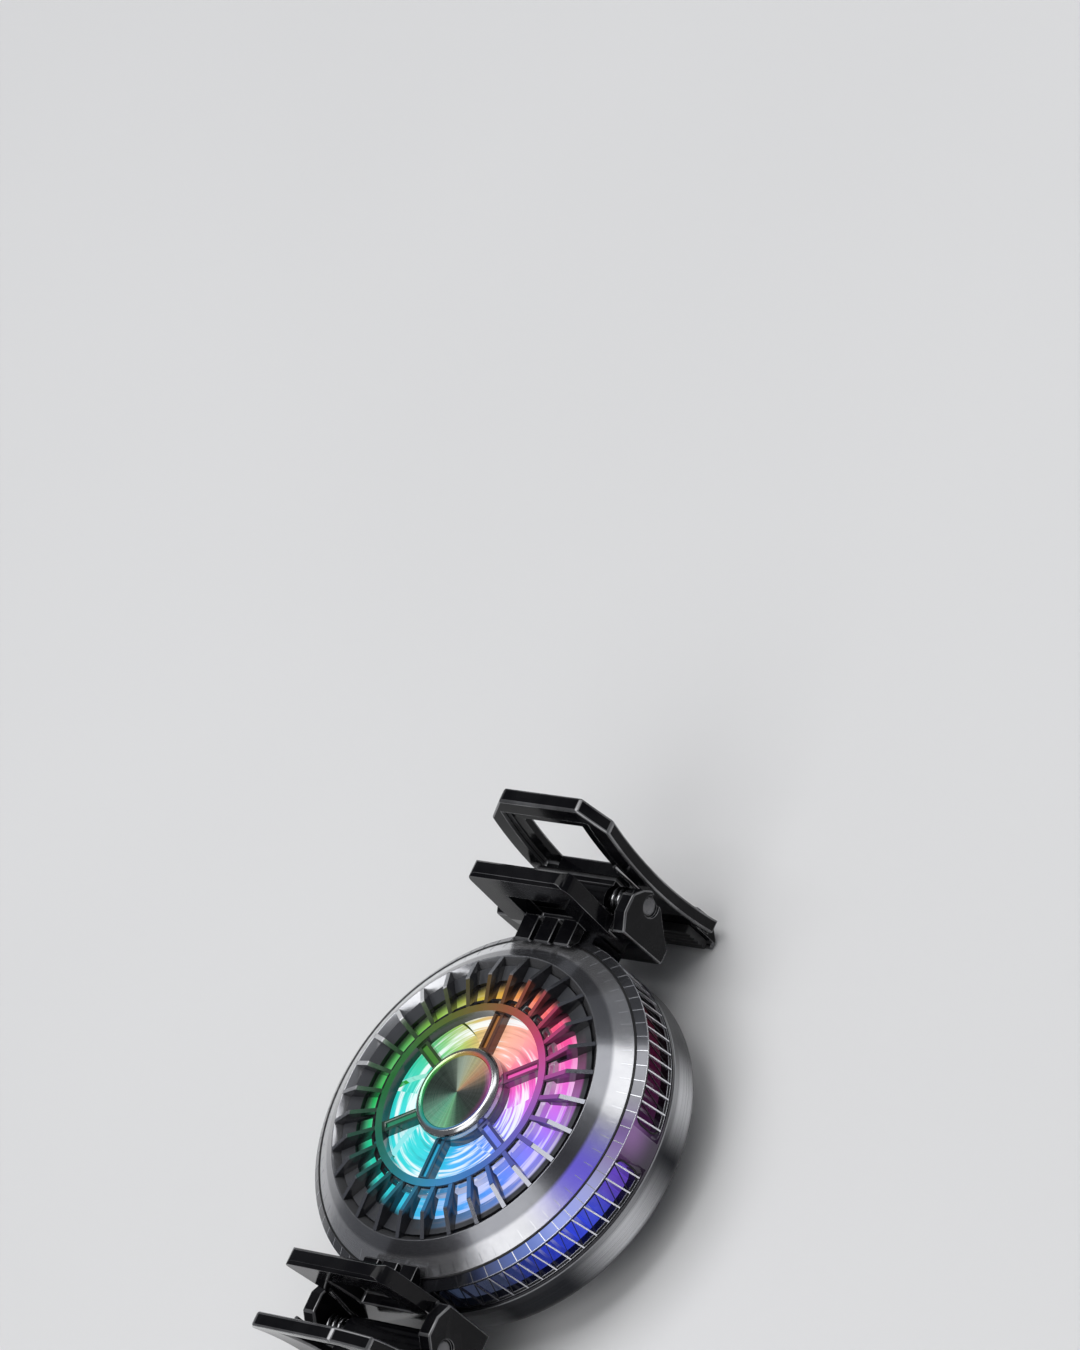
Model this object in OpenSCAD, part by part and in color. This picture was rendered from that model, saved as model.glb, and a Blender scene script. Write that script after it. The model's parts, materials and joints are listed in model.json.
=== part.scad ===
// Clip-on cooling fan for the back of a phone. A cold plate on a thermoelectric module draws
// the heat out, a ring of fins sheds it, and a lit blower behind a radial grille drives the air.
// +Z points out of the fan's front, Z = 0 is the cold face that lies on the phone,
// and the two spring clips stand at +Y and -Y.

/* [Fan body] */
// Outer diameter of the rear ring and the side housing
body_d = 60; // [56:0.5:68]
// Wall of the side housing
wall_t = 1.8; // [1.4:0.1:2.2]
// Height of the side housing above the rear ring
housing_h = 8; // [7:0.25:11]
// How far the cold pad stands proud of the rear ring
pad_proud = 0.4; // [0.2:0.1:0.6]
// Floor of the rear ring under the magnets and the board
floor_t = 0.6; // [0.5:0.1:0.8]
// Radius of the rounded rear edge
rear_round = 2.2; // [1:0.1:2.6]
// Width of the sloping shoulder round the housing's front edge
shoulder_w = 1.5; // [1:0.1:2]
// Drop of that shoulder
shoulder_drop = 1.1; // [0.6:0.1:1.4]
// Arc of each side window, in degrees
window_arc = 71; // [50:1:71]
// Angle of each side window's middle from the X axis, in degrees
window_mid = 41.5; // [40:0.5:46]
// Corner radius of the side windows
window_round = 1.5; // [0.8:0.1:2]
// Width of the sunk frame round each side window
window_frame = 0.45; // [0.3:0.05:0.7]

/* [Front bezel and grille] */
// Radial width of the bezel from its parting line to its rim
bezel_w = 4.6; // [4:0.1:5.5]
// Height of the bezel's rim above the housing
bezel_rise = 3.4; // [2.6:0.1:4]
// Outer diameter of the ring that the spokes carry
ring_d = 30.6; // [28:0.2:32]
// Width of that ring
ring_w = 1.2; // [1:0.1:2]
// Number of radial ribs
rib_count = 30; // [20:1:36]
// Thickness of a rib
rib_t = 0.7; // [0.5:0.05:1]
// Radius at which the ribs start to slope down
rib_knee_r = 20; // [18:0.25:21]
// Height of that knee above the rim
rib_knee_rise = 1.6; // [0.8:0.1:2]
// Number of spokes
spoke_count = 6; // [4:1:8]
// Width of a spoke
spoke_w = 1.9; // [1.5:0.1:2.5]
// Diameter of the brushed disc in the hub
hub_disc_d = 12.2; // [10:0.2:13]
// Width of the polished trim ring round it
trim_w = 1.0; // [0.8:0.1:1.4]
// Height of the trim ring
trim_h = 1.55; // [1:0.05:2]

/* [Cooling stack] */
// Thickness of the silicone cold pad
pad_t = 0.8; // [0.6:0.1:1.2]
// Width of the rear ring, from the cold plate's edge to the body's outside
rear_rim_w = 8; // [7.6:0.1:9]
// Thickness of the cold plate
plate_t = 1.8; // [1.4:0.1:2.4]
// Side of the square thermoelectric module
tec_side = 20; // [16:1:21]
// Thickness of the module
tec_t = 3.0; // [2.6:0.1:3.6]
// Thickness of one ceramic face of the module
ceramic_t = 0.7; // [0.5:0.1:0.9]
// Rows of pellets along each side of the module
pellet_rows = 7; // [5:1:9]
// Thickness of the heat sink's base
sink_base_t = 1.4; // [1.2:0.1:1.8]
// Number of cooling fins
fin_count = 72; // [40:2:80]
// Thickness of a fin
fin_t = 0.5; // [0.4:0.05:0.7]
// Gap between the blower wheel and the fins
fin_gap = 1.0; // [0.8:0.1:1.6]
// Radial width of the magnet ring
magnet_w = 3.5; // [2.5:0.1:3.6]
// Thickness of the magnet ring
magnet_t = 2; // [1.5:0.1:2.4]

/* [Blower and lights] */
// Outer diameter of the blower wheel
wheel_d = 34.4; // [32:0.2:34.6]
// Number of blades
blade_count = 11; // [7:1:15]
// Thickness of a blade
blade_t = 0.8; // [0.6:0.1:1]
// Radius of a blade's curve
blade_curve_r = 12; // [11:0.5:18]
// Diameter of the motor shaft
shaft_d = 2; // [1.5:0.1:2.4]
// Diameter of the wheel's hub
wheel_hub_d = 16.4; // [16:0.2:18]
// Thickness of the light board
led_board_t = 0.8; // [0.6:0.1:1]
// Number of light chips
led_count = 12; // [6:1:18]
// Thickness of the light guide, over the chips
light_t = 1.7; // [1.5:0.1:2]

/* [Power inlet] */
// Angle of the power inlet round the body
port_angle = 116; // [110:1:124]
// Width of the inlet's shell
port_w = 9.0; // [8.9:0.05:9.2]
// Height of the inlet's shell
port_h = 3.2; // [3.1:0.05:3.3]
// Depth of the inlet's shell
port_depth = 6.6; // [6:0.1:7]
// Wall of the inlet's shell
port_wall = 0.3; // [0.25:0.05:0.4]

/* [Spring clips] */
// Distance of the hinge pin outside the body
pin_out = 7.3; // [7:0.1:8]
// Height of the hinge pin above the cold face
pin_z = 12.5; // [11.5:0.25:13.5]
// Diameter of the hinge pin
pin_d = 2.5; // [2:0.1:2.8]
// Clear width between the bracket's ears
ear_gap = 21.6; // [20:0.2:23]
// Thickness of an ear
ear_t = 2.4; // [2:0.1:3]
// Thickness of the bracket's wall
bracket_t = 2; // [1.6:0.1:2.2]
// Half width of the bracket's thumb plate
thumb_half_w = 10.2; // [9:0.1:10.4]
// Height of the bracket's thumb plate above the cold face
thumb_top = 28; // [27:0.25:29]
// How far the thumb plate leans out at its top
thumb_lean = 1.0; // [0.5:0.1:1.4]
// Width of the claw
claw_w = 24; // [22:0.5:26]
// Thickness of the claw
claw_t = 2.3; // [2:0.1:2.6]
// Distance from the hinge pin to the claw's inner face
claw_reach = 2.8; // [2.7:0.1:3.2]
// Radius of the claw's bow
claw_bow_r = 76; // [60:1:90]
// Height of the claw's finger end above the cold face
claw_top = 30; // [29:0.25:32]
// Width of the finger window in the claw
claw_window_w = 12; // [10:0.5:13]
// Height of that window
claw_window_h = 10.6; // [9:0.2:11]
// How far the jaw pad's face stands in from the claw's inner face
jaw_inset = 0.9; // [0.6:0.1:1.2]
// Thickness of the rubber jaw pad
jaw_pad_t = 1.4; // [1:0.1:1.8]
// Height of the rubber jaw pad
jaw_pad_h = 5.2; // [4:0.2:6]
// Wire of the torsion spring
wire_d = 0.7; // [0.5:0.05:0.8]
// Half turns of the torsion spring, an odd number
spring_half_turns = 7; // [5:2:7]

/* [Hidden] */
$fn = 96;

// Clearances
fit_gap = 0.1;
slide_gap = 0.2;
run_gap = 0.03;
air_gap = 0.6;
eps = 0.01;

// Levels of the cooling stack, from the cold face up
z_plate = pad_t;
z_tec = z_plate + plate_t;
z_sink = z_tec + tec_t;
z_base = z_sink + sink_base_t;
ledge_lap = 1.4;
z_rear_top = z_sink + ledge_lap;
z_floor = pad_proud + floor_t;
z_house_top = z_rear_top + housing_h;

// Radii of the body
body_r = body_d / 2;
house_in_r = body_r - wall_t;
sink_r = house_in_r - 2 * slide_gap;
plate_r = body_r - rear_rim_w;
rear_in_r = plate_r + 3 * fit_gap;
rear_wall_in_r = sink_r - 0.9;
fin_in_r = wheel_d / 2 + fin_gap;
bezel_r = body_r - shoulder_w - fit_gap;
rim_r = bezel_r - bezel_w;
z_rim = z_house_top + bezel_rise;
z_shoulder = z_house_top - shoulder_drop;

// Seats for the lights inside the bezel
throat_r = rim_r - 1.2;
ledge_t = 0.7;
ledge_in_r = throat_r - 1.0;
z_led = z_house_top - ledge_t;
z_chip = z_led + led_board_t;
z_light_top = z_chip + light_t;
board_r = throat_r - 2 * fit_gap;
board_in_r = fin_in_r - air_gap;
chip_side = 1.6;
chip_h = 0.6;
chip_r = (board_in_r + board_r) / 2;
light_plate_t = light_t - chip_h - fit_gap;
light_in_r = ring_d / 2 + 0.5;
fin_top = z_led - ledge_t - slide_gap;

// Grille
ring_r = ring_d / 2;
ring_in_r = ring_r - ring_w;
z_ring_top = z_rim + 0.75;
ring_h = 1.75;
z_knee = z_rim + rib_knee_rise;
hoop_r = throat_r - fit_gap;
hoop_w = 2.5;
hoop_h = 0.8;
inner_hoop_w = 1.2;
hub_r = hub_disc_d / 2 + trim_w + 0.5;
hub_cup_h = 1.9;
z_hub = z_ring_top - 0.25;
z_spoke = z_hub - fit_gap;

// Blower
wheel_r = wheel_d / 2;
wheel_hub_r = wheel_hub_d / 2;
shaft_r = shaft_d / 2;
wheel_plate_t = 0.7;
screw_head_h = 1.2;
z_wheel = z_base + screw_head_h + air_gap;
z_wheel_top = z_hub - hub_cup_h - air_gap;
z_wheel_step = z_led - ledge_t - air_gap;
eye_r = light_in_r - air_gap;
cup_wall = 0.9;
cup_roof = 1.2;
cup_in_r = wheel_hub_r - cup_wall;
rotor_w = 1.1;
rotor_h = 3.4;
stator_r = cup_in_r - rotor_w - air_gap;
boss_h = 0.6;
boss_r = stator_r + 0.4;
z_boss = z_base + boss_h;
z_cup_roof = z_wheel_top - cup_roof;
bearing_r = shaft_r + 1.2;
bearing_h = z_cup_roof - z_boss - 2 * air_gap;
stator_h = bearing_h - air_gap;
shaft_seat = 0.7;
stator_poles = 6;

// Clamp screws between the heat sink and the cold plate
screw_r = 1.0;
screw_head_r = 1.9;
screw_circle_r = fin_in_r - screw_head_r - fit_gap;
screw_angles = [0, 90, 180, 270];

// Rear ring details
magnet_in_r = rear_in_r + 0.7;
port_gap_half = 26;
control_board_t = 0.8;
z_port = z_floor + control_board_t + port_h / 2;

// Clip levels and places, for the clip on the +Y side
socket_half_w = 6.5;
socket_y = body_r + 1.0;
tongue_half_w = 4;
tongue_t = 1.9;
tongue_drop = 7;
bracket_y = socket_y + slide_gap;
bracket_face_y = bracket_y + bracket_t;
pin_y = body_r + pin_out;
pin_r = pin_d / 2;
ear_in_x = ear_gap / 2;
ear_out_x = ear_in_x + ear_t;
ear_bottom = 5.4;
pin_sunk = 0.5;
z_thumb = z_house_top + slide_gap;
neck_half_w = 5.5;
neck_in_y = rim_r + 3.1;
claw_y = pin_y + claw_reach;
claw_bow_z = 9;
claw_half_w = claw_w / 2;
claw_corner = 4.1;
knuckle_r = 2.4;
knuckle_side_gap = 0.3;
grip_half_w = claw_y - jaw_inset;
jaw_y = grip_half_w + jaw_pad_t;
jaw_top = 1.4;
jaw_bottom = -5.6;
jaw_lip_t = 0.8;
jaw_pad_half_w = claw_half_w - 2;

// Torsion spring
wire_r = wire_d / 2;
wire_gap = 0.45;
coil_r = pin_r + wire_r + 0.4;
coil_pitch = wire_d + wire_gap;
coil_len = coil_pitch * spring_half_turns / 2;
coil_out_x = ear_in_x - wire_r - slide_gap;
coil_in_x = coil_out_x - coil_len;
rings_per_turn = 8;
wire_sides = 6;
leg_rise = 7.6;

// Place at an angle round the fan's axis, at radius r
module at_angle(angle, r = 0) {
    rotate([0, 0, angle]) translate([r, 0, 0]) children();
}

// Flat ring between two radii and two levels
module tube(r_out, r_in, z0, z1) {
    translate([0, 0, z0]) difference() {
        cylinder(r = r_out, h = z1 - z0);
        translate([0, 0, -1]) cylinder(r = r_in, h = z1 - z0 + 2);
    }
}

// Plate of an outline drawn in Y and Z, from x0 to x1
module yz_plate(x0, x1) {
    translate([x0, 0, 0]) rotate([90, 0, 90]) linear_extrude(x1 - x0) children();
}

// Plate of an outline drawn in X and Z, from y0 to y1
module xz_plate(y0, y1) {
    translate([0, y1, 0]) rotate([90, 0, 0]) linear_extrude(y1 - y0) children();
}

// Pill outline for the power inlet
module pill(w, h) {
    square([w - h, h], center = true);
    for (side = [-1, 1]) translate([side * (w - h) / 2, 0]) circle(d = h);
}

// Round-cornered cutter through a round wall: an arc between two radii and two levels
module arc_slot(mid, arc, r0, r1, z0, z1, corner) {
    corner_arc = corner / r0 * 180 / PI;
    rotate([0, 0, mid - arc / 2 + corner_arc]) rotate_extrude(angle = arc - 2 * corner_arc)
        translate([r0, z0]) square([r1 - r0, z1 - z0]);
    rotate([0, 0, mid - arc / 2]) rotate_extrude(angle = arc)
        translate([r0, z0 + corner]) square([r1 - r0, z1 - z0 - 2 * corner]);
    for (side = [-1, 1], up = [-1, 1])
        rotate([0, 0, mid + side * (arc / 2 - corner_arc)])
            translate([r0 - 0.5, 0, up > 0 ? z1 - corner : z0 + corner])
                rotate([0, 90, 0]) rotate([0, 0, side * (45 * up - 90)])
                    cylinder(r = corner - 4 * eps, h = r1 - r0 + 1, $fn = 32);
}

module thermal_pad() {
    color("dimgray") cylinder(r = plate_r - 1, h = pad_t);
}

module cold_plate() {
    color("silver") difference() {
        translate([0, 0, z_plate]) cylinder(r = plate_r, h = plate_t);
        for (a = screw_angles) at_angle(a, screw_circle_r)
            translate([0, 0, z_plate - 1]) cylinder(r = screw_r + fit_gap / 2, h = plate_t + 2, $fn = 32);
    }
}

module magnet_ring() {
    color("gray") difference() {
        tube(magnet_in_r + magnet_w, magnet_in_r, z_floor, z_floor + magnet_t);
        rotate([0, 0, port_angle - port_gap_half]) rotate_extrude(angle = 2 * port_gap_half)
            translate([magnet_in_r - 1, z_floor - 1]) square([magnet_w + 2, magnet_t + 2]);
    }
}

// Metal ring that carries everything and lies round the cold plate
module rear_ring() {
    color("#3c4046") difference() {
        rotate_extrude() union() {
            difference() {
                translate([rear_in_r, pad_proud])
                    square([body_r - rear_in_r, z_rear_top - pad_proud]);
                translate([body_r - rear_round, pad_proud - 1]) square(rear_round + 1 + eps);
            }
            translate([body_r - rear_round, pad_proud + rear_round]) circle(r = rear_round, $fn = 48);
        }
        translate([0, 0, z_floor]) cylinder(r = rear_wall_in_r, h = z_rear_top);
        translate([0, 0, z_sink]) cylinder(r = sink_r + fit_gap, h = z_rear_top);
        port_hole();
    }
}

// Mouth of the power inlet in the rear ring's wall
module port_hole() {
    at_angle(port_angle, rear_wall_in_r - 1) translate([0, 0, z_port]) rotate([90, 0, 90])
        linear_extrude(body_r) pill(port_w + 2 * fit_gap, port_h + 2 * fit_gap);
}

module control_board() {
    color("darkgreen") rotate([0, 0, port_angle - port_gap_half + 2])
        rotate_extrude(angle = 2 * port_gap_half - 4) translate([rear_in_r + 0.2, z_floor])
            square([rear_wall_in_r - rear_in_r - 0.4, control_board_t]);
}

module usb_c_port() {
    tongue_w = port_w - 2.3;
    tongue_h = 0.7;
    color("lightgray") at_angle(port_angle, body_r - slide_gap - port_depth)
        translate([0, 0, z_port]) rotate([90, 0, 90]) {
            linear_extrude(1) pill(port_w, port_h);
            linear_extrude(port_depth) difference() {
                pill(port_w, port_h);
                pill(port_w - 2 * port_wall, port_h - 2 * port_wall);
            }
            linear_extrude(port_depth - 1.2) square([tongue_w, tongue_h], center = true);
        }
}

module tec_module() {
    pellet = tec_side / pellet_rows * 0.6;
    pitch = tec_side / pellet_rows;
    color("white") {
        for (z = [z_tec, z_sink - ceramic_t]) translate([-tec_side / 2, -tec_side / 2, z])
            cube([tec_side, tec_side, ceramic_t]);
        for (i = [0 : pellet_rows - 1], j = [0 : pellet_rows - 1])
            translate([(i + 0.5) * pitch - tec_side / 2 - pellet / 2,
                       (j + 0.5) * pitch - tec_side / 2 - pellet / 2, z_tec])
                cube([pellet, pellet, tec_t]);
    }
}

// Foam that keeps the cold plate and the hot heat sink apart
module insulating_gasket() {
    hole = tec_side + 4 * fit_gap;
    color("#222222") difference() {
        translate([0, 0, z_tec]) cylinder(r = plate_r - 2, h = tec_t);
        translate([-hole / 2, -hole / 2, z_tec - 1]) cube([hole, hole, tec_t + 2]);
        for (a = screw_angles) at_angle(a, screw_circle_r)
            translate([0, 0, z_tec - 1]) cylinder(r = screw_r + slide_gap, h = tec_t + 2, $fn = 32);
    }
}

module heat_sink() {
    fin_out_r = sink_r - slide_gap;
    color("lightsteelblue") difference() {
        union() {
            translate([0, 0, z_sink]) cylinder(r = sink_r, h = sink_base_t);
            translate([0, 0, z_base - eps]) cylinder(r = boss_r, h = boss_h + eps);
            for (i = [0 : fin_count - 1]) rotate([0, 0, (i + 0.5) * 360 / fin_count])
                translate([fin_in_r, -fin_t / 2, z_base - eps])
                    cube([fin_out_r - fin_in_r, fin_t, fin_top - z_base + eps]);
        }
        for (a = screw_angles) at_angle(a, screw_circle_r)
            translate([0, 0, z_sink - 1]) cylinder(r = screw_r + fit_gap, h = sink_base_t + 2, $fn = 32);
    }
}

// Four screws that pull the heat sink and the cold plate together on the module
module clamp_screws() {
    color("silver") for (a = screw_angles) at_angle(a, screw_circle_r) {
        translate([0, 0, z_plate + fit_gap]) cylinder(r = screw_r, h = z_base - z_plate - fit_gap, $fn = 32);
        difference() {
            translate([0, 0, z_base]) cylinder(r = screw_head_r, h = screw_head_h, $fn = 32);
            for (turn = [0, 90]) translate([0, 0, z_base + screw_head_h]) rotate([0, 0, turn])
                cube([screw_head_r * 1.2, 0.5, screw_head_h], center = true);
        }
    }
}

// Wound core of the motor, on the heat sink's boss
module motor_stator() {
    yoke_r = bearing_r + 0.9;
    pole_w = 1.6;
    shoe_t = 0.8;
    color("#b5703a") difference() {
        union() {
            translate([0, 0, z_boss]) cylinder(r = yoke_r, h = stator_h);
            tube(stator_r, stator_r - shoe_t, z_boss + 1, z_boss + stator_h - 0.6);
            for (i = [0 : stator_poles - 1]) rotate([0, 0, i * 360 / stator_poles])
                translate([0, -pole_w / 2, z_boss + 1.2])
                    cube([stator_r - shoe_t / 2, pole_w, stator_h - 2]);
        }
        translate([0, 0, z_boss - 1]) cylinder(r = bearing_r + eps, h = stator_h + 2, $fn = 48);
    }
}

module sleeve_bearing() {
    color("goldenrod") tube(bearing_r, shaft_r + run_gap, z_boss, z_boss + bearing_h, $fn = 48);
}

module motor_shaft() {
    color("silver") translate([0, 0, z_boss + slide_gap])
        cylinder(r = shaft_r, h = z_cup_roof + shaft_seat - z_boss - slide_gap, $fn = 48);
}

module rotor_magnet() {
    color("#404040") tube(cup_in_r - eps, cup_in_r - rotor_w, z_wheel + wheel_plate_t,
                          z_wheel + wheel_plate_t + rotor_h);
}

// One blade in plan, curving back from the hub to just inside the wheel's edge
module blade_plan() {
    intersection() {
        translate([0, blade_curve_r]) difference() {
            circle(r = blade_curve_r + blade_t / 2);
            circle(r = blade_curve_r - blade_t / 2);
        }
        difference() {
            circle(r = wheel_r - slide_gap);
            circle(r = wheel_hub_r - cup_wall / 2);
        }
        translate([0, -1]) square([wheel_r + 1, wheel_r + 2]);
    }
}

// Blower wheel: back plate, hub cup over the motor, and blades stepped down under the light board
module impeller() {
    blade_top = z_wheel_top - 0.4;
    color("white") {
        rotate_extrude() polygon([
            [cup_in_r, z_wheel], [wheel_r, z_wheel], [wheel_r, z_wheel + wheel_plate_t],
            [wheel_hub_r, z_wheel + wheel_plate_t], [wheel_hub_r, z_wheel_top], [0, z_wheel_top],
            [0, z_cup_roof + shaft_seat], [shaft_r + eps, z_cup_roof + shaft_seat],
            [shaft_r + eps, z_cup_roof], [cup_in_r, z_cup_roof]]);
        intersection() {
            translate([0, 0, z_wheel + wheel_plate_t / 2])
                linear_extrude(blade_top - z_wheel - wheel_plate_t / 2)
                    for (i = [0 : blade_count - 1]) rotate(i * 360 / blade_count) blade_plan();
            rotate_extrude() polygon([
                [0, z_wheel - 1], [wheel_r + 1, z_wheel - 1], [wheel_r + 1, z_wheel_step],
                [eye_r, z_wheel_step], [eye_r, blade_top + 1], [0, blade_top + 1]]);
        }
    }
}

// Side wall with four sunk windows and a clip socket at each side
module side_housing() {
    color("#5a5e66", 0.85) difference() {
        union() {
            windowed_wall();
            for (turn = [0, 180]) rotate([0, 0, turn]) socket_block();
        }
        for (turn = [0, 180]) rotate([0, 0, turn]) socket_pocket();
    }
}

module windowed_wall() {
    z0 = z_rear_top + window_frame;
    z1 = z_shoulder - window_frame / 2;
    sunk_arc = window_arc + 4;
    difference() {
        rotate_extrude() polygon([
            [house_in_r, z_rear_top], [body_r, z_rear_top], [body_r, z_shoulder],
            [body_r - shoulder_w, z_house_top], [house_in_r, z_house_top]]);
        for (mid = [window_mid, 180 - window_mid, 180 + window_mid, 360 - window_mid]) {
            rotate([0, 0, mid - sunk_arc / 2]) rotate_extrude(angle = sunk_arc)
                translate([body_r - window_frame, z0]) square([window_frame + 1, z1 - z0]);
            arc_slot(mid, window_arc, house_in_r - 1, body_r + 1, z0 + window_frame, z1 - window_frame,
                     window_round);
        }
    }
}

// Block on the side wall that a clip's tongue slides into
module socket_block() {
    difference() {
        xz_plate(house_in_r - 0.6, socket_y)
            translate([-socket_half_w, z_rear_top]) square([2 * socket_half_w, z_shoulder - z_rear_top]);
        cylinder(r = house_in_r + wall_t / 2, h = z_house_top + 1);
    }
}

module socket_pocket() {
    half = tongue_half_w + fit_gap;
    translate([-half, bracket_y - tongue_t - slide_gap, z_house_top - tongue_drop - fit_gap])
        cube([2 * half, tongue_t + 2, tongue_drop + 2]);
}

module led_board() {
    color("#f4f4f0") {
        tube(board_r, board_in_r, z_led, z_chip);
        for (i = [0 : led_count - 1]) at_angle(i * 360 / led_count, chip_r)
            translate([-chip_side / 2, -chip_side / 2, z_chip - eps])
                cube([chip_side, chip_side, chip_h + eps]);
    }
}

// Milky guide that spreads the light under the ribs
module light_ring() {
    foot_w = 0.7;
    color("#ff9ad5", 0.8) rotate_extrude() polygon([
        [light_in_r, z_light_top - light_plate_t], [board_r - foot_w, z_light_top - light_plate_t],
        [board_r - foot_w, z_chip], [board_r, z_chip], [board_r, z_light_top],
        [light_in_r, z_light_top]]);
}

// Sloping front ring, with a ledge for the lights and a throat for the grille
module front_bezel() {
    crest_w = 2.5;
    crest_rise = 1.8;
    flare_drop = 1.2;
    lip_r = house_in_r - slide_gap;
    color("#6b6f76", 0.85) difference() {
        rotate_extrude() polygon([
            [ledge_in_r, z_led - ledge_t], [lip_r, z_led - ledge_t], [lip_r, z_house_top + eps],
            [bezel_r, z_house_top + eps], [bezel_r - crest_w, z_house_top + crest_rise], [rim_r, z_rim],
            [throat_r, z_rim - flare_drop], [throat_r, z_led], [ledge_in_r, z_led]]);
        for (turn = [0, 180]) rotate([0, 0, turn]) socket_pocket();
    }
}

// One rib: level from the inner ring to the knee, then sloping down to the bezel's rim
module rib() {
    rib_end_r = rim_r - fit_gap;
    root_r = hoop_r - slide_gap;
    z_root = z_light_top + hoop_h / 2;
    z_under = z_ring_top - ring_h + 0.3;
    rotate([90, 0, 0]) translate([0, 0, -rib_t / 2]) linear_extrude(rib_t) polygon([
        [ring_r - ring_w / 2, z_under], [ring_r - ring_w / 2, z_ring_top - 0.05],
        [rib_knee_r, z_knee], [rib_end_r, z_rim], [root_r, z_root],
        [root_r - hoop_w + 0.6, z_root], [root_r - hoop_w - 0.8, z_root + 0.3],
        [ring_r + inner_hoop_w - 0.4, z_under]]);
}

// Spoke with a sunk channel along its top
module spoke() {
    channel = 0.45;
    rim = 0.5;
    length = ring_in_r - hub_r;
    spoke_h = 1.5;
    difference() {
        translate([hub_r - 0.4, -spoke_w / 2, z_spoke - spoke_h])
            cube([length + 0.8, spoke_w, spoke_h]);
        translate([hub_r + rim, -spoke_w / 2 + rim, z_spoke - channel])
            cube([length - 2 * rim, spoke_w - 2 * rim, channel + 1]);
    }
}

module front_grille() {
    slot_arc = 6;
    color("#2a2c30") difference() {
        union() {
            tube(ring_r, ring_in_r, z_ring_top - ring_h, z_ring_top);
            tube(ring_r + inner_hoop_w, ring_r - eps, z_ring_top - ring_h, z_ring_top - 0.8);
            tube(hoop_r, hoop_r - hoop_w, z_light_top, z_light_top + hoop_h);
            translate([0, 0, z_hub - hub_cup_h]) cylinder(r = hub_r, h = hub_cup_h);
            for (i = [0 : rib_count - 1]) rotate([0, 0, 90 + i * 360 / rib_count]) rib();
            for (i = [0 : spoke_count - 1]) rotate([0, 0, 90 + i * 360 / spoke_count]) spoke();
        }
        for (i = [0 : rib_count - 1]) rotate([0, 0, 90 + (i + 0.5) * 360 / rib_count - slot_arc / 2])
            rotate_extrude(angle = slot_arc) translate([ring_r + 0.35, z_ring_top - ring_h - 1])
                square([inner_hoop_w - 0.7, ring_h + 1]);
    }
}

module hub_disc() {
    dish = 0.15;
    color("slategray") difference() {
        translate([0, 0, z_hub]) cylinder(r = hub_disc_d / 2, h = trim_h - 0.35);
        translate([0, 0, z_hub + trim_h - 0.35 - dish])
            cylinder(r1 = 0.2, r2 = hub_disc_d / 2 - 0.3, h = dish + eps);
    }
}

module hub_trim_ring() {
    in_r = hub_disc_d / 2 + fit_gap / 2;
    lip = 0.25;
    color("silver") rotate_extrude() polygon([
        [in_r, z_hub], [hub_r, z_hub], [hub_r - 0.1, z_hub + trim_h * 0.55],
        [in_r + trim_w, z_hub + trim_h - lip], [in_r + trim_w - lip, z_hub + trim_h],
        [in_r + lip, z_hub + trim_h], [in_r, z_hub + trim_h - lip]]);
}

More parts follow.
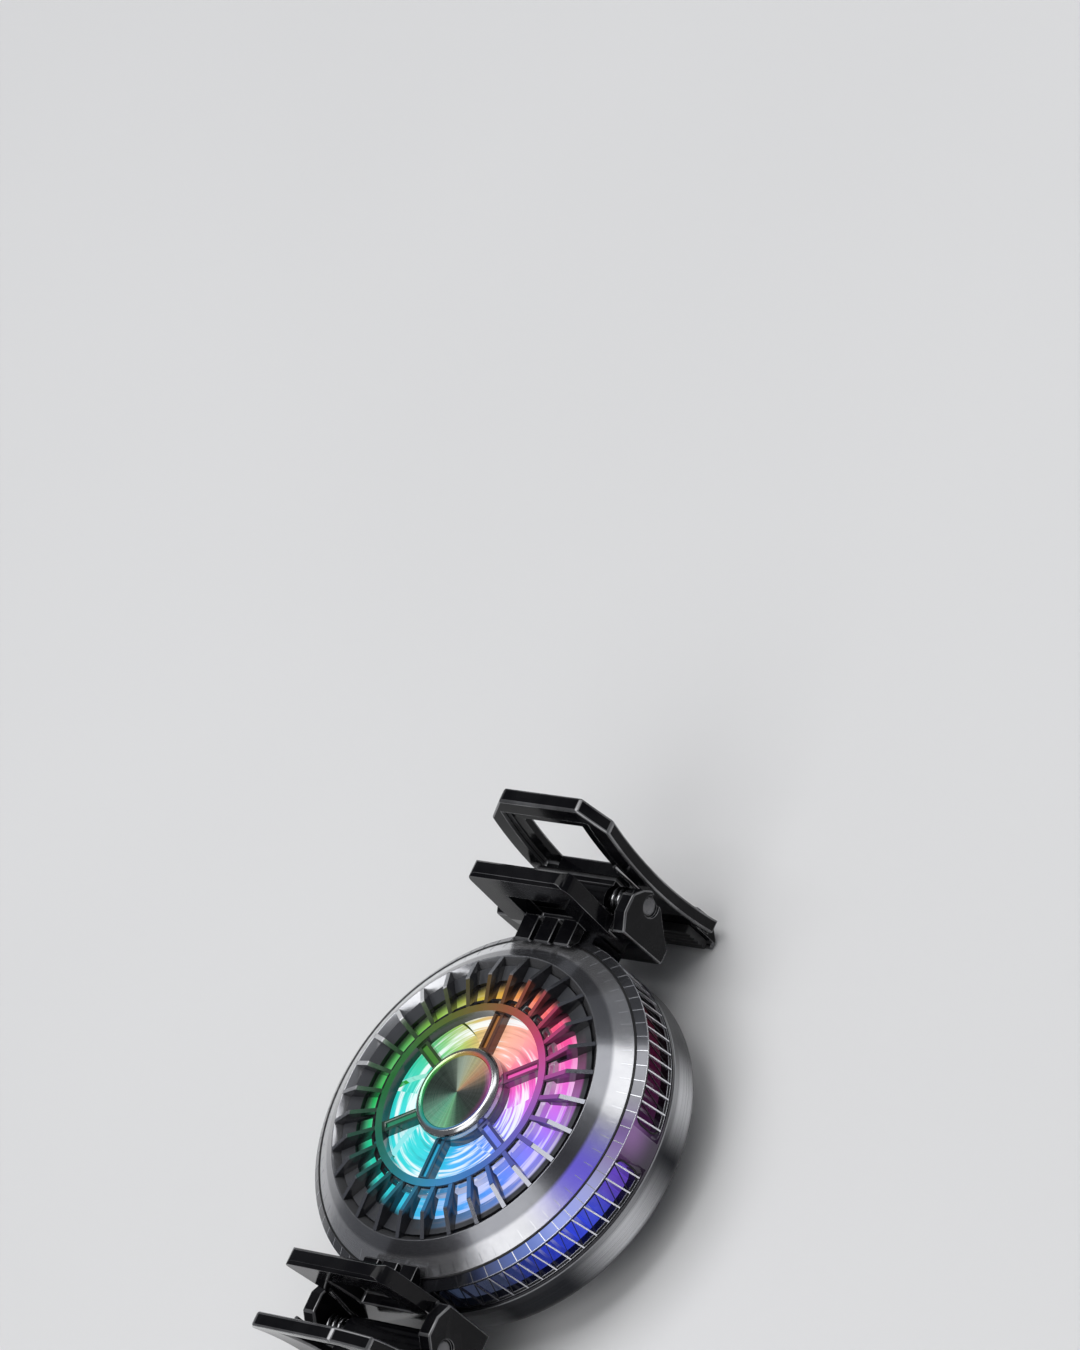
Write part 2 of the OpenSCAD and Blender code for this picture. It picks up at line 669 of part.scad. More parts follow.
// Fixed half of a clip: tongue, neck, wall with two ears, and the inner thumb plate
module bracket() {
    lean = thumb_lean;
    round_r = 2.2;
    window_w = 10.6;
    window_z = z_thumb - 1;
    window_h = 8.2;
    ear_top = pin_z + 4.4;
    color("#17181a") difference() {
        union() {
            // Wall between the ears
            translate([-ear_out_x, bracket_y, ear_bottom])
                cube([2 * ear_out_x, bracket_t, pin_z + 3 - ear_bottom]);
            // Ears round the pin
            for (x = [-ear_out_x, ear_in_x]) yz_plate(x, x + ear_t) polygon([
                [bracket_y, ear_bottom], [bracket_face_y + 0.3, ear_bottom], [pin_y - 2.3, pin_z - 5.2],
                [pin_y + 0.7, pin_z - 2.1], [pin_y + 2.1, pin_z + 1.2], [pin_y + 1.3, pin_z + 2.8],
                [pin_y - 0.3, ear_top], [bracket_face_y + 0.7, ear_top], [bracket_y, pin_z + 3]]);
            // Thumb plate, leaning out, with round upper corners
            intersection() {
                yz_plate(-thumb_half_w, thumb_half_w) polygon([
                    [bracket_y, pin_z], [bracket_face_y, pin_z], [bracket_face_y, z_thumb],
                    [bracket_face_y + lean, thumb_top - 0.6], [bracket_face_y + lean - 0.5, thumb_top],
                    [bracket_y + lean - 0.3, thumb_top], [bracket_y + lean - 0.8, thumb_top - 0.6],
                    [bracket_y - 0.4, z_thumb]]);
                xz_plate(bracket_y - 2, bracket_face_y + 4) union() {
                    translate([-thumb_half_w, pin_z]) square([2 * thumb_half_w, thumb_top - round_r - pin_z]);
                    translate([round_r - thumb_half_w, pin_z])
                        square([2 * (thumb_half_w - round_r), thumb_top - pin_z]);
                    for (side = [-1, 1]) translate([side * (thumb_half_w - round_r), thumb_top - round_r])
                        circle(r = round_r, $fn = 48);
                }
            }
            // Tongue in the housing's socket
            translate([-tongue_half_w, bracket_y - tongue_t, z_house_top - tongue_drop])
                cube([2 * tongue_half_w, tongue_t + eps, tongue_drop + slide_gap + 0.5]);
            // Neck over the bezel's slope, in three fingers
            for (x = [-neck_half_w, -1.5, neck_half_w - 3]) yz_plate(x, x + 3) polygon([
                [neck_in_y, z_house_top + 1.6], [bezel_r + slide_gap, z_thumb], [bracket_y + 0.5, z_thumb],
                [bracket_y + 0.5, z_thumb + 2.2], [neck_in_y, z_thumb + 2.2]]);
        }
        translate([-window_w / 2, bracket_y + eps, window_z]) cube([window_w, bracket_t + 4, window_h]);
        translate([-window_w / 2, bracket_y - 2, z_thumb + 2.2])
            cube([window_w, 3, window_z + window_h - z_thumb - 2.2]);
        translate([-ear_out_x - 1, pin_y, pin_z]) rotate([0, 90, 0])
            cylinder(r = pin_r + eps, h = 2 * ear_out_x + 2, $fn = 48);
        for (x = [-ear_out_x - 1, ear_out_x - pin_sunk]) translate([x, pin_y, pin_z]) rotate([0, 90, 0])
            cylinder(r = pin_r + 0.5, h = 1 + pin_sunk, $fn = 48);
    }
}

// Moving half of a clip: a bowed plate with a finger window, a knuckle on the pin and a jaw
module claw() {
    bow_y = claw_y + claw_bow_r;
    out_r = claw_bow_r - claw_t;
    window_z = pin_z + knuckle_r;
    frame = 2.6;
    recess = 0.9;
    knuckle_x0 = -ear_in_x + knuckle_side_gap;
    knuckle_x1 = coil_in_x - wire_r - slide_gap;
    color("#101113") difference() {
        union() {
            // Bowed plate, cut to its outline
            intersection() {
                yz_plate(-claw_half_w, claw_half_w) difference() {
                    translate([bow_y, claw_bow_z]) circle(r = claw_bow_r, $fn = 180);
                    translate([bow_y, claw_bow_z]) circle(r = out_r, $fn = 180);
                }
                xz_plate(claw_y - 1, claw_y + 12) polygon([
                    [-claw_half_w, jaw_bottom + 2.6], [claw_half_w, jaw_bottom + 2.6],
                    [claw_half_w, claw_top - claw_corner], [claw_half_w - claw_corner, claw_top],
                    [claw_corner - claw_half_w, claw_top], [-claw_half_w, claw_top - claw_corner]]);
            }
            // Knuckle with its web and the heel that stops it on the bracket's wall
            yz_plate(knuckle_x0, knuckle_x1) union() {
                translate([pin_y, pin_z]) circle(r = knuckle_r, $fn = 48);
                translate([pin_y, pin_z - 1.6]) square([claw_reach + 0.5, 3.2]);
                polygon([[pin_y - knuckle_r, pin_z - 0.4], [bracket_face_y + 0.8, pin_z - 2.6],
                         [bracket_face_y + 1.0, pin_z - 3.4], [pin_y, pin_z - knuckle_r]]);
            }
            // Jaw with a lip under the pad
            yz_plate(-claw_half_w + 1, claw_half_w - 1) polygon([
                [jaw_y, jaw_top], [jaw_y + 0.8, jaw_top + 0.4], [claw_y + claw_t + 0.9, jaw_top],
                [claw_y + claw_t + 0.9, jaw_bottom + 2.6], [jaw_y + 0.4, jaw_bottom],
                [grip_half_w + 0.4, jaw_bottom], [grip_half_w + 0.4, jaw_bottom + jaw_lip_t],
                [jaw_y, jaw_bottom + jaw_lip_t]]);
        }
        // Finger window with a sunk rim on the inner face
        translate([-claw_window_w / 2, claw_y - 1, window_z]) cube([claw_window_w, 8, claw_window_h]);
        intersection() {
            translate([-claw_window_w / 2 - frame, claw_y - 1, window_z + eps])
                cube([claw_window_w + 2 * frame, 9, claw_window_h + frame * 0.7]);
            yz_plate(-claw_half_w, claw_half_w) difference() {
                translate([bow_y, claw_bow_z]) circle(r = claw_bow_r + 1, $fn = 180);
                translate([bow_y, claw_bow_z]) circle(r = claw_bow_r - recess, $fn = 180);
            }
        }
        translate([-ear_in_x, pin_y, pin_z]) rotate([0, 90, 0])
            cylinder(r = pin_r + run_gap, h = ear_gap, $fn = 48);
    }
}

module jaw_pad() {
    groove = 0.4;
    color("#2b2b2b") difference() {
        translate([-jaw_pad_half_w, grip_half_w, jaw_bottom + jaw_lip_t])
            cube([2 * jaw_pad_half_w, jaw_pad_t, jaw_pad_h]);
        for (z = [1 : 4]) translate([0, grip_half_w, jaw_bottom + jaw_lip_t + z * jaw_pad_h / 5])
            rotate([45, 0, 0]) cube([2 * claw_half_w, groove, groove], center = true);
    }
}

module hinge_pin() {
    half = ear_out_x - pin_sunk;
    color("#303030") translate([-half, pin_y, pin_z]) rotate([0, 90, 0])
        cylinder(r = pin_r, h = 2 * half, $fn = 48);
}

// Centre line of the torsion spring's wire: leg on the thumb plate, coil, leg on the claw
spring_turn = 180 * spring_half_turns;
spring_steps = rings_per_turn * spring_half_turns / 2;
inner_leg = [[coil_in_x, bracket_face_y + thumb_lean / 2 + wire_r + slide_gap, pin_z + leg_rise]];
outer_leg = [[coil_out_x, claw_y - wire_r - slide_gap, pin_z + leg_rise]];
coil_points = [for (i = [0 : spring_steps])
    let (turn = 180 + spring_turn * i / spring_steps)
    [coil_in_x + coil_len * i / spring_steps, pin_y + coil_r * cos(turn), pin_z + coil_r * sin(turn)]];
spring_path = concat(inner_leg, coil_points, outer_leg);

function unit(v) = v / norm(v);

// Direction of the wire at point i of a path
function heading(path, i) = unit(path[min(i + 1, len(path) - 1)] - path[max(i - 1, 0)]);

// Ring of points round point i, set out from the hinge axis so that the tube doesn't twist
function wire_ring(path, i) =
    let (d = heading(path, i), side = unit(cross(d, [1, 0, 0])), up = cross(side, d))
    [for (k = [0 : wire_sides - 1])
        path[i] + wire_r * (cos(k * 360 / wire_sides) * side + sin(k * 360 / wire_sides) * up)];

// Least gap between stretches of the wire that are at least half a turn apart
spring_gap = min([for (i = [1 : len(spring_path) - 2], j = [1 : len(spring_path) - 2])
    if (j - i >= rings_per_turn / 2) norm(spring_path[i] - spring_path[j])]) - wire_d;
echo(least_gap_of_spring_wire = spring_gap);

module torsion_spring() {
    count = len(spring_path);
    points = [for (i = [0 : count - 1]) each wire_ring(spring_path, i)];
    walls = [for (i = [0 : count - 2], k = [0 : wire_sides - 1])
        let (a = i * wire_sides + k, b = i * wire_sides + (k + 1) % wire_sides)
        each [[a, b, a + wire_sides], [b, b + wire_sides, a + wire_sides]]];
    first_cap = [for (k = [1 : wire_sides - 2]) [0, k + 1, k]];
    last = (count - 1) * wire_sides;
    last_cap = [for (k = [1 : wire_sides - 2]) [last, last + k, last + k + 1]];
    color("gainsboro") polyhedron(concat(points), concat(walls, first_cap, last_cap));
}

// The lower clip is the same clip, turned half way round the fan
module lower() {
    rotate([0, 0, 180]) children();
}

module upper_bracket() { bracket(); }
module upper_claw() { claw(); }
module upper_jaw_pad() { jaw_pad(); }
module upper_hinge_pin() { hinge_pin(); }
module upper_spring() { torsion_spring(); }
module lower_bracket() { lower() bracket(); }
module lower_claw() { lower() claw(); }
module lower_jaw_pad() { lower() jaw_pad(); }
module lower_hinge_pin() { lower() hinge_pin(); }
module lower_spring() { lower() torsion_spring(); }

thermal_pad();
cold_plate();
magnet_ring();
rear_ring();
control_board();
usb_c_port();
tec_module();
insulating_gasket();
heat_sink();
clamp_screws();
motor_stator();
sleeve_bearing();
motor_shaft();
rotor_magnet();
impeller();
side_housing();
led_board();
light_ring();
front_bezel();
front_grille();
hub_disc();
hub_trim_ring();
upper_bracket();
upper_claw();
upper_jaw_pad();
upper_hinge_pin();
upper_spring();
lower_bracket();
lower_claw();
lower_jaw_pad();
lower_hinge_pin();
lower_spring();
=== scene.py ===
import bmesh
import bpy
import functools
import itertools
import json
import math
from mathutils import Matrix, Vector
from mathutils.geometry import intersect_point_line


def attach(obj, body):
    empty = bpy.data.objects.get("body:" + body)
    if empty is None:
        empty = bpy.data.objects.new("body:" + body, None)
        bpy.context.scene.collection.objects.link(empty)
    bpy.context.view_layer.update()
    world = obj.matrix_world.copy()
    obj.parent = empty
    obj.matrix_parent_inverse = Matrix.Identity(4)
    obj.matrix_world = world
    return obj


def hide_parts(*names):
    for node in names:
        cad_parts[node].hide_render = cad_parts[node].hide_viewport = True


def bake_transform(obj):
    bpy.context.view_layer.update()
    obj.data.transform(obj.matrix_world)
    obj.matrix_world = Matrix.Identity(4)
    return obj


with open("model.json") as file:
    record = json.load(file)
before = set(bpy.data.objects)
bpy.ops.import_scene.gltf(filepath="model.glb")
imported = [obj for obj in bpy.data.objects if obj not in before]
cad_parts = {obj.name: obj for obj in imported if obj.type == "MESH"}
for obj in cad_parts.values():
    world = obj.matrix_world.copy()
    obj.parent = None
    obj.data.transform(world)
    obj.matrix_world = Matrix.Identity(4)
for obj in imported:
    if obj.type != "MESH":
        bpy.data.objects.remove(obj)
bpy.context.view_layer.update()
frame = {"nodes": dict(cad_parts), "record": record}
scene = bpy.context.scene
MM = 0.001


def link(name, data):
    made = bpy.data.objects.new(name, data)
    scene.collection.objects.link(made)
    return made


# ---- camera and light

PHOTO_HEIGHT = 1350
FOCAL_LENGTH = 8000
SENSOR = 36
CAMERA_RIGHT = Vector((0.7198, 0.4058, -0.5633))
CAMERA_UP = Vector((-0.0881, 0.8582, 0.5057))
CAMERA_PLACE = Vector((0.81660, -0.31344, 0.81578))


def place_camera():
    """Camera at the photograph's viewing angle, its focal length in the photograph's pixels."""
    data = bpy.data.cameras.new("camera")
    data.sensor_width = SENSOR
    data.lens = FOCAL_LENGTH / PHOTO_HEIGHT * SENSOR
    data.clip_end = 100
    right = CAMERA_RIGHT.normalized()
    back = right.cross(CAMERA_UP).normalized()
    turn = Matrix((right, back.cross(right).normalized(), back)).transposed().to_4x4()
    turn.translation = CAMERA_PLACE
    camera = link("camera", data)
    camera.matrix_world = turn
    scene.camera = camera


def soft_box(name, place, aim, width, height, power):
    data = bpy.data.lights.new(name, "AREA")
    data.shape = "RECTANGLE"
    data.size = width
    data.size_y = height
    data.energy = power
    lamp = link(name, data)
    lamp.location = place
    lamp.rotation_euler = (Vector(aim) - Vector(place)).to_track_quat("-Z", "Y").to_euler()


# ---- short calls for node trees

FLOAT, COLOUR, VECTOR = "NodeSocketFloat", "NodeSocketColor", "NodeSocketVector"
WHOLE, SHAPE, FINISH = "NodeSocketInt", "NodeSocketGeometry", "NodeSocketMaterial"


class Nodes:
    """A node tree with short calls to add nodes, set their values and join them."""

    def __init__(self, tree):
        self.tree = tree

    def put(self, socket, value):
        """Join an output to a socket, or set the socket's value."""
        if isinstance(value, bpy.types.NodeSocket):
            self.tree.links.new(value, socket)
        elif socket.type == "RGBA":
            socket.default_value = (*value[:3], 1)
        else:
            socket.default_value = value

    def add(self, kind, values=None, **settings):
        node = self.tree.nodes.new(kind)
        for key, value in settings.items():
            setattr(node, key, value)
        for key, value in (values or {}).items():
            self.put(node.inputs[key], value)
        return node

    def use(self, tree, **values):
        node = self.tree.nodes.new("ShaderNodeGroup")
        node.node_tree = tree
        for key, value in values.items():
            self.put(node.inputs[key], value)
        return node.outputs

    def math(self, operation, a, b=0.0):
        return self.add("ShaderNodeMath", {0: a, 1: b}, operation=operation).outputs[0]

    def folded(self, operation, values):
        return functools.reduce(lambda a, b: self.math(operation, a, b), values)

    def product(self, *values):
        return self.folded("MULTIPLY", values)

    def total(self, *values):
        return self.folded("ADD", values)

    def largest(self, *values):
        return self.folded("MAXIMUM", values)

    def vector(self, operation, a, b):
        return self.add("ShaderNodeVectorMath", {0: a, 1: b}, operation=operation).outputs[0]

    def scaled(self, vector, scale):
        node = self.add("ShaderNodeVectorMath", {0: vector, "Scale": scale}, operation="SCALE")
        return node.outputs[0]

    def joined(self, x=0.0, y=0.0, z=0.0):
        return self.add("ShaderNodeCombineXYZ", {0: x, 1: y, 2: z}).outputs[0]

    def split(self, vector):
        return self.add("ShaderNodeSeparateXYZ", {0: vector}).outputs

    def noise(self, place, scale, detail, roughness=0.5):
        node = self.add("ShaderNodeTexNoise", {
            "Vector": place, "Scale": scale, "Detail": detail, "Roughness": roughness})
        return node.outputs[0]

    def ease(self, value, low, high, out_low=0.0, out_high=1.0):
        """Smooth step from one value to another as a coordinate goes from low to high."""
        node = self.add("ShaderNodeMapRange", {
            "Value": value, "From Min": low, "From Max": high, "To Min": out_low,
            "To Max": out_high}, interpolation_type="SMOOTHSTEP")
        return node.outputs["Result"]

    def mix(self, share, a, b, blend="MIX"):
        node = self.add("ShaderNodeMix", data_type="RGBA", blend_type=blend)
        colours = [s for s in node.inputs if s.type == "RGBA"]
        self.put(node.inputs[0], share)
        self.put(colours[0], a)
        self.put(colours[1], b)
        return [s for s in node.outputs if s.type == "RGBA"][0]

    def times(self, a, b):
        return self.mix(1.0, a, b, "MULTIPLY")

    def round_ramp(self, angle, stops):
        """Colour at an angle in degrees, from stops of (angle, colour)."""
        share = self.add("ShaderNodeMapRange", {"Value": angle, "From Min": -180, "From Max": 180})
        node = self.add("ShaderNodeValToRGB", {"Fac": share.outputs["Result"]})
        bar = node.color_ramp.elements
        while len(bar) < len(stops):
            bar.new(0.5)
        for element, (place, colour) in zip(bar, sorted(stops)):
            element.position = (place + 180) / 360
            element.color = (*colour, 1)
        return node.outputs["Color"]


def new_group(name, inputs, outputs, kind="ShaderNodeTree"):
    tree = bpy.data.node_groups.new(name, kind)
    for label, socket, value in inputs:
        made = tree.interface.new_socket(label, in_out="INPUT", socket_type=socket)
        if value is not None:
            made.default_value = value
    for label, socket in outputs:
        tree.interface.new_socket(label, in_out="OUTPUT", socket_type=socket)
    nodes = Nodes(tree)
    return nodes, nodes.add("NodeGroupInput").outputs, nodes.add("NodeGroupOutput").inputs


# ---- effects that materials share

def make_polar_group():
    """Radius and height in millimetres and angle in degrees, round the fan's axis."""
    nodes, given, out = new_group(
        "round_the_axis", [("Place", VECTOR, None)],
        [("Radius", FLOAT), ("Angle", FLOAT), ("Height", FLOAT)])
    x, y, z = nodes.split(nodes.scaled(given["Place"], 1 / MM))
    square = nodes.total(nodes.product(x, x), nodes.product(y, y))
    nodes.put(out["Radius"], nodes.math("SQRT", square))
    nodes.put(out["Angle"], nodes.math("DEGREES", nodes.math("ARCTAN2", y, x)))
    nodes.put(out["Height"], z)
    return nodes.tree


LIGHT_HUES = [
    (-180, (0.02, 0.58, 0.08)), (-150, (0.01, 0.58, 0.28)), (-125, (0.01, 0.62, 0.55)),
    (-100, (0.03, 0.55, 0.80)), (-75, (0.05, 0.42, 0.90)), (-45, (0.08, 0.27, 0.91)),
    (-15, (0.26, 0.18, 0.92)), (5, (0.64, 0.16, 0.82)), (22, (0.93, 0.13, 0.62)),
    (48, (0.97, 0.06, 0.25)), (78, (0.95, 0.20, 0.09)), (102, (0.74, 0.42, 0.06)),
    (130, (0.36, 0.56, 0.05)), (158, (0.06, 0.58, 0.06)), (180, (0.02, 0.58, 0.08))]


def make_rainbow_group():
    """Colour of the ring of lights at an angle round the fan."""
    nodes, given, out = new_group("light_colours", [("Angle", FLOAT, 0)], [("Color", COLOUR)])
    nodes.put(out["Color"], nodes.round_ramp(given["Angle"], LIGHT_HUES))
    return nodes.tree


def make_streak_group():
    """Streaks that run round the axis, as on a wheel in motion or a turned face."""
    nodes, given, out = new_group(
        "round_streaks",
        [("Radius", FLOAT, 0), ("Angle", FLOAT, 0), ("Across", FLOAT, 1), ("Along", FLOAT, 1),
         ("Drift", FLOAT, 0)], [("Streak", FLOAT)])
    turn = nodes.math("RADIANS", given["Angle"])
    across = nodes.product(given["Radius"], given["Across"])
    drift = nodes.product(given["Angle"], given["Drift"])
    place = nodes.joined(
        nodes.total(across, drift), nodes.product(nodes.math("COSINE", turn), given["Along"]),
        nodes.product(nodes.math("SINE", turn), given["Along"]))
    nodes.put(out["Streak"], nodes.noise(place, 1, 3, 0.6))
    return nodes.tree


def make_grain_group():
    """Fine moulded or cast grain: roughness between two values, and a height for bump."""
    nodes, given, out = new_group(
        "fine_grain",
        [("Place", VECTOR, None), ("Grains", FLOAT, 900), ("Low", FLOAT, 0.2),
         ("High", FLOAT, 0.3)], [("Roughness", FLOAT), ("Height", FLOAT)])
    small = nodes.noise(given["Place"], given["Grains"], 4)
    broad = nodes.noise(given["Place"], 55, 2)
    both = nodes.total(nodes.product(small, 0.5), nodes.product(broad, 0.5))
    span = nodes.math("SUBTRACT", given["High"], given["Low"])
    rise = nodes.product(nodes.ease(both, 0.32, 0.68), span)
    nodes.put(out["Roughness"], nodes.total(given["Low"], rise))
    nodes.put(out["Height"], small)
    return nodes.tree


def make_mottle_group():
    """Slow change between two shades of one colour."""
    nodes, given, out = new_group(
        "mottle",
        [("Place", VECTOR, None), ("Patches", FLOAT, 120), ("Dark", COLOUR, None),
         ("Light", COLOUR, None)], [("Color", COLOUR)])
    share = nodes.ease(nodes.noise(given["Place"], given["Patches"], 3), 0.35, 0.65)
    nodes.put(out["Color"], nodes.mix(share, given["Dark"], given["Light"]))
    return nodes.tree


polar = make_polar_group()
light_colours = make_rainbow_group()
round_streaks = make_streak_group()
fine_grain = make_grain_group()
mottle = make_mottle_group()


# ---- materials
# Angles are in degrees round the fan, radii and heights in millimetres.

BLACK, WHITE = (0, 0, 0), (1, 1, 1)
NOISE_SPAN = (0.3, 0.7)
GRAIN_DEPTH = 0.00003


class Finish(Nodes):
    """A material with its Principled shader, the piece's own coordinates and the axis values."""

    def __init__(self, name, **constants):
        self.material = bpy.data.materials.new(name)
        self.material.use_nodes = True
        super().__init__(self.material.node_tree)
        self.shader = self.tree.nodes["Principled BSDF"]
        for key, value in constants.items():
            self.set(key.replace("_", " "), value)
        self.place = self.add("ShaderNodeTexCoord").outputs["Object"]
        self.radius, self.angle, self.height = self.use(polar, Place=self.place)

    def set(self, key, value):
        self.put(self.shader.inputs[key], value)

    def paint(self, colour):
        self.set("Base Color", colour)

    def bump(self, height, strength, distance=GRAIN_DEPTH):
        values = {"Height": height, "Strength": strength, "Distance": distance}
        self.set("Normal", self.add("ShaderNodeBump", values).outputs[0])

    def grain(self, grains, low, high, strength=0.1):
        made = self.use(fine_grain, Place=self.place, Grains=grains, Low=low, High=high)
        self.set("Roughness", made["Roughness"])
        self.bump(made["Height"], strength)

    def mottled(self, dark, light, patches=120):
        return self.use(mottle, Place=self.place, Patches=patches, Dark=dark, Light=light)["Color"]

    def streak(self, across, along, drift=0.0, over=None):
        """Streaks round the axis, told apart by radius or by another coordinate."""
        over = self.radius if over is None else over
        return self.use(round_streaks, Radius=over, Angle=self.angle, Across=across, Along=along,
                        Drift=drift)["Streak"]

    def brushed_round(self):
        """Stretch the shine across rings that run round the axis."""
        tangent = self.add("ShaderNodeTangent", direction_type="RADIAL", axis="Z")
        self.set("Tangent", tangent.outputs[0])

    def glow(self, colour, strength=1.0):
        self.set("Emission Color", colour)
        self.set("Emission Strength", strength)

    def light_colour(self):
        return self.use(light_colours, Angle=self.angle)["Color"]

    def facing_up(self):
        """1 on faces that look up, 0 on walls."""
        normal = self.add("ShaderNodeNewGeometry").outputs["Normal"]
        return self.ease(self.split(normal)[2], 0.55, 0.8)

    def between(self, value, low, high, edge):
        """1 between two values of a coordinate, with soft edges."""
        return self.product(self.ease(value, low - edge, low + edge),
                            self.ease(value, high - edge, high + edge, 1, 0))

    def near_angle(self, middle, half):
        """1 at an angle round the fan, easing to 0 at half degrees from it."""
        away = self.math("SUBTRACT", self.angle, middle)
        wrapped = self.add("ShaderNodeMath", {0: away, 1: -180.0, 2: 180.0}, operation="WRAP")
        return self.ease(self.math("ABSOLUTE", wrapped.outputs[0]), 0, half, 1, 0)


def plain_finish(name, dark, light, grains, low, high, patches=120, strength=0.1, **constants):
    """Two shades of one colour with fine grain, its roughness between low and high."""
    mat = Finish(name, **constants)
    mat.paint(mat.mottled(dark, light, patches))
    mat.grain(grains, low, high, strength)
    return mat.material


def turned_metal(name, dark, light, low, high, across=9.0):
    """Metal turned on a lathe: fine rings in its roughness, shade and surface."""
    mat = Finish(name, Metallic=1.0)
    ring = mat.streak(across, 0.6)
    mat.paint(mat.mix(mat.ease(ring, *NOISE_SPAN), dark, light))
    mat.set("Roughness", mat.ease(ring, *NOISE_SPAN, low, high))
    mat.bump(ring, 0.06, 0.00004)
    return mat.material


# Bright sectors of painted reflection, each (angle, half width)
REAR_PAINTED_REFLECTIONS = ((-20, 24), (22, 20), (78, 16), (128, 30), (178, 18), (222, 26), (283, 16))
# Heights of the painted shade at the foot and towards the top, and of the painted edge highlight
REAR_PAINTED_FOOT_SHADE, REAR_SHADE, REAR_PAINTED_EDGE_HIGHLIGHT = (0.7, 2.5), (5.2, 6.0), (6.55, 6.8)


def rear_ring_metal():
    """Dark turned ring with painted reflections in bright sectors, a painted near-black shade at
    the foot, painted shade towards the top and a painted highlight on the upper edge.
    """
    mat = Finish("gunmetal_ring", Metallic=1.0, Anisotropic=0.6)
    mat.brushed_round()
    ring = mat.streak(14, 0.8, over=mat.height)
    # Painted reflections: bright sectors round the ring
    bright = mat.largest(*(mat.near_angle(*sector) for sector in REAR_PAINTED_REFLECTIONS))
    body = mat.mix(bright, (0.022, 0.023, 0.027), (0.62, 0.625, 0.64))
    # Painted shade: near black at the foot, dimmer towards the top
    body = mat.mix(mat.ease(mat.height, *REAR_PAINTED_FOOT_SHADE), (0.02, 0.0205, 0.024), body)
    body = mat.mix(mat.ease(mat.height, *REAR_SHADE, 0, 0.45), body, (0.05, 0.051, 0.056))
    # Painted highlight along the upper edge
    edge = mat.mix(mat.ease(mat.height, *REAR_PAINTED_EDGE_HIGHLIGHT), body, (0.34, 0.345, 0.36))
    fine = mat.mix(mat.ease(ring, *NOISE_SPAN), (0.78, 0.78, 0.79), WHITE)
    mat.paint(mat.times(edge, fine))
    mat.set("Roughness", mat.ease(ring, *NOISE_SPAN, 0.26, 0.36))
    mat.bump(ring, 0.05)
    return mat.material


BEZEL_BAND, BEZEL_OUTER = (23.75, 23.95), (25.5, 26.1)


def smoke_bezel():
    """Smoked metallic ring: pale throat and rim, dark between; painted reflections brighten the
    throat and rim on the far side, a painted shade darkens the band near -15 degrees, and a painted
    violet glow lies on the outer slope near -17 degrees.
    """
    mat = Finish("smoked_bezel", Metallic=0.8, Coat_Weight=0.5, Coat_Roughness=0.05)
    outer = mat.ease(mat.radius, *BEZEL_OUTER)
    band = mat.ease(mat.radius, *BEZEL_BAND)
    # Painted reflections: throat and rim brighter on the far side
    throat = mat.mix(mat.near_angle(150, 75), (0.30, 0.303, 0.315), (0.50, 0.505, 0.525))
    shade = mat.mix(band, throat, (0.19, 0.194, 0.21))
    rim = mat.mix(mat.near_angle(128, 72), (0.43, 0.433, 0.45), (0.93, 0.932, 0.95))
    shade = mat.mix(outer, shade, rim)
    # Painted shade: the band darker near -15 degrees
    dark = mat.product(mat.near_angle(-15, 15), band)
    shade = mat.mix(dark, shade, (0.10, 0.10, 0.115))
    flecks = mat.mottled((0.93, 0.93, 0.94), WHITE, 300)
    mat.paint(mat.times(shade, flecks))
    mat.grain(1500, 0.17, 0.23, 0.03)
    # Painted violet glow on the outer slope
    lit = mat.product(mat.near_angle(-17, 24), outer)
    mat.glow(mat.mix(lit, BLACK, (0.10, 0.07, 0.56)))
    return mat.material


SHOULDER, PANEL = (13.75, 13.9), (7.6, 13.4)


def smoke_housing():
    """Smoked side wall: grey shoulder with a painted blue and violet glow from inside, dark below;
    painted reflections brighten the grey in two sectors, a painted shade darkens it near -56
    degrees, and a painted violet glow lies on the panel near 2 degrees.
    """
    mat = Finish("smoked_housing", Metallic=0.6, Coat_Roughness=0.04)
    shoulder = mat.ease(mat.height, *SHOULDER)
    # Painted reflections brighten the grey in two sectors; painted shade darkens it near -56
    # degrees
    pale = mat.largest(mat.near_angle(22, 27), mat.near_angle(125, 60))
    painted_shade = mat.near_angle(-56, 40)
    grey = mat.mix(pale, (0.07, 0.071, 0.078), (0.18, 0.183, 0.20))
    grey = mat.mix(painted_shade, grey, (0.012, 0.013, 0.018))
    mat.set("Coat Weight", mat.ease(painted_shade, 0, 1, 0.5, 0.1))
    shade = mat.mix(shoulder, (0.022, 0.022, 0.027), grey)
    flecks = mat.mottled((0.9, 0.9, 0.92), WHITE, 260)
    mat.paint(mat.times(shade, flecks))
    mat.grain(1300, 0.12, 0.2, 0.03)
    # Painted glow from inside: blue, lilac and violet on the shoulder, violet on a panel below
    blue = mat.mix(mat.near_angle(-36, 30), BLACK, (0.07, 0.14, 0.50))
    lilac = mat.mix(mat.near_angle(-19, 24), BLACK, (0.29, 0.28, 0.46))
    violet = mat.mix(mat.near_angle(-1, 16), BLACK, (0.12, 0.05, 0.22))
    above = mat.mix(1.0, mat.mix(1.0, blue, lilac, "ADD"), violet, "ADD")
    panel = mat.product(mat.near_angle(2, 13), mat.ease(mat.height, *PANEL, 0.1, 0.9))
    below = mat.mix(panel, BLACK, (0.19, 0.085, 0.25))
    mat.glow(mat.mix(shoulder, below, above))
    return mat.material


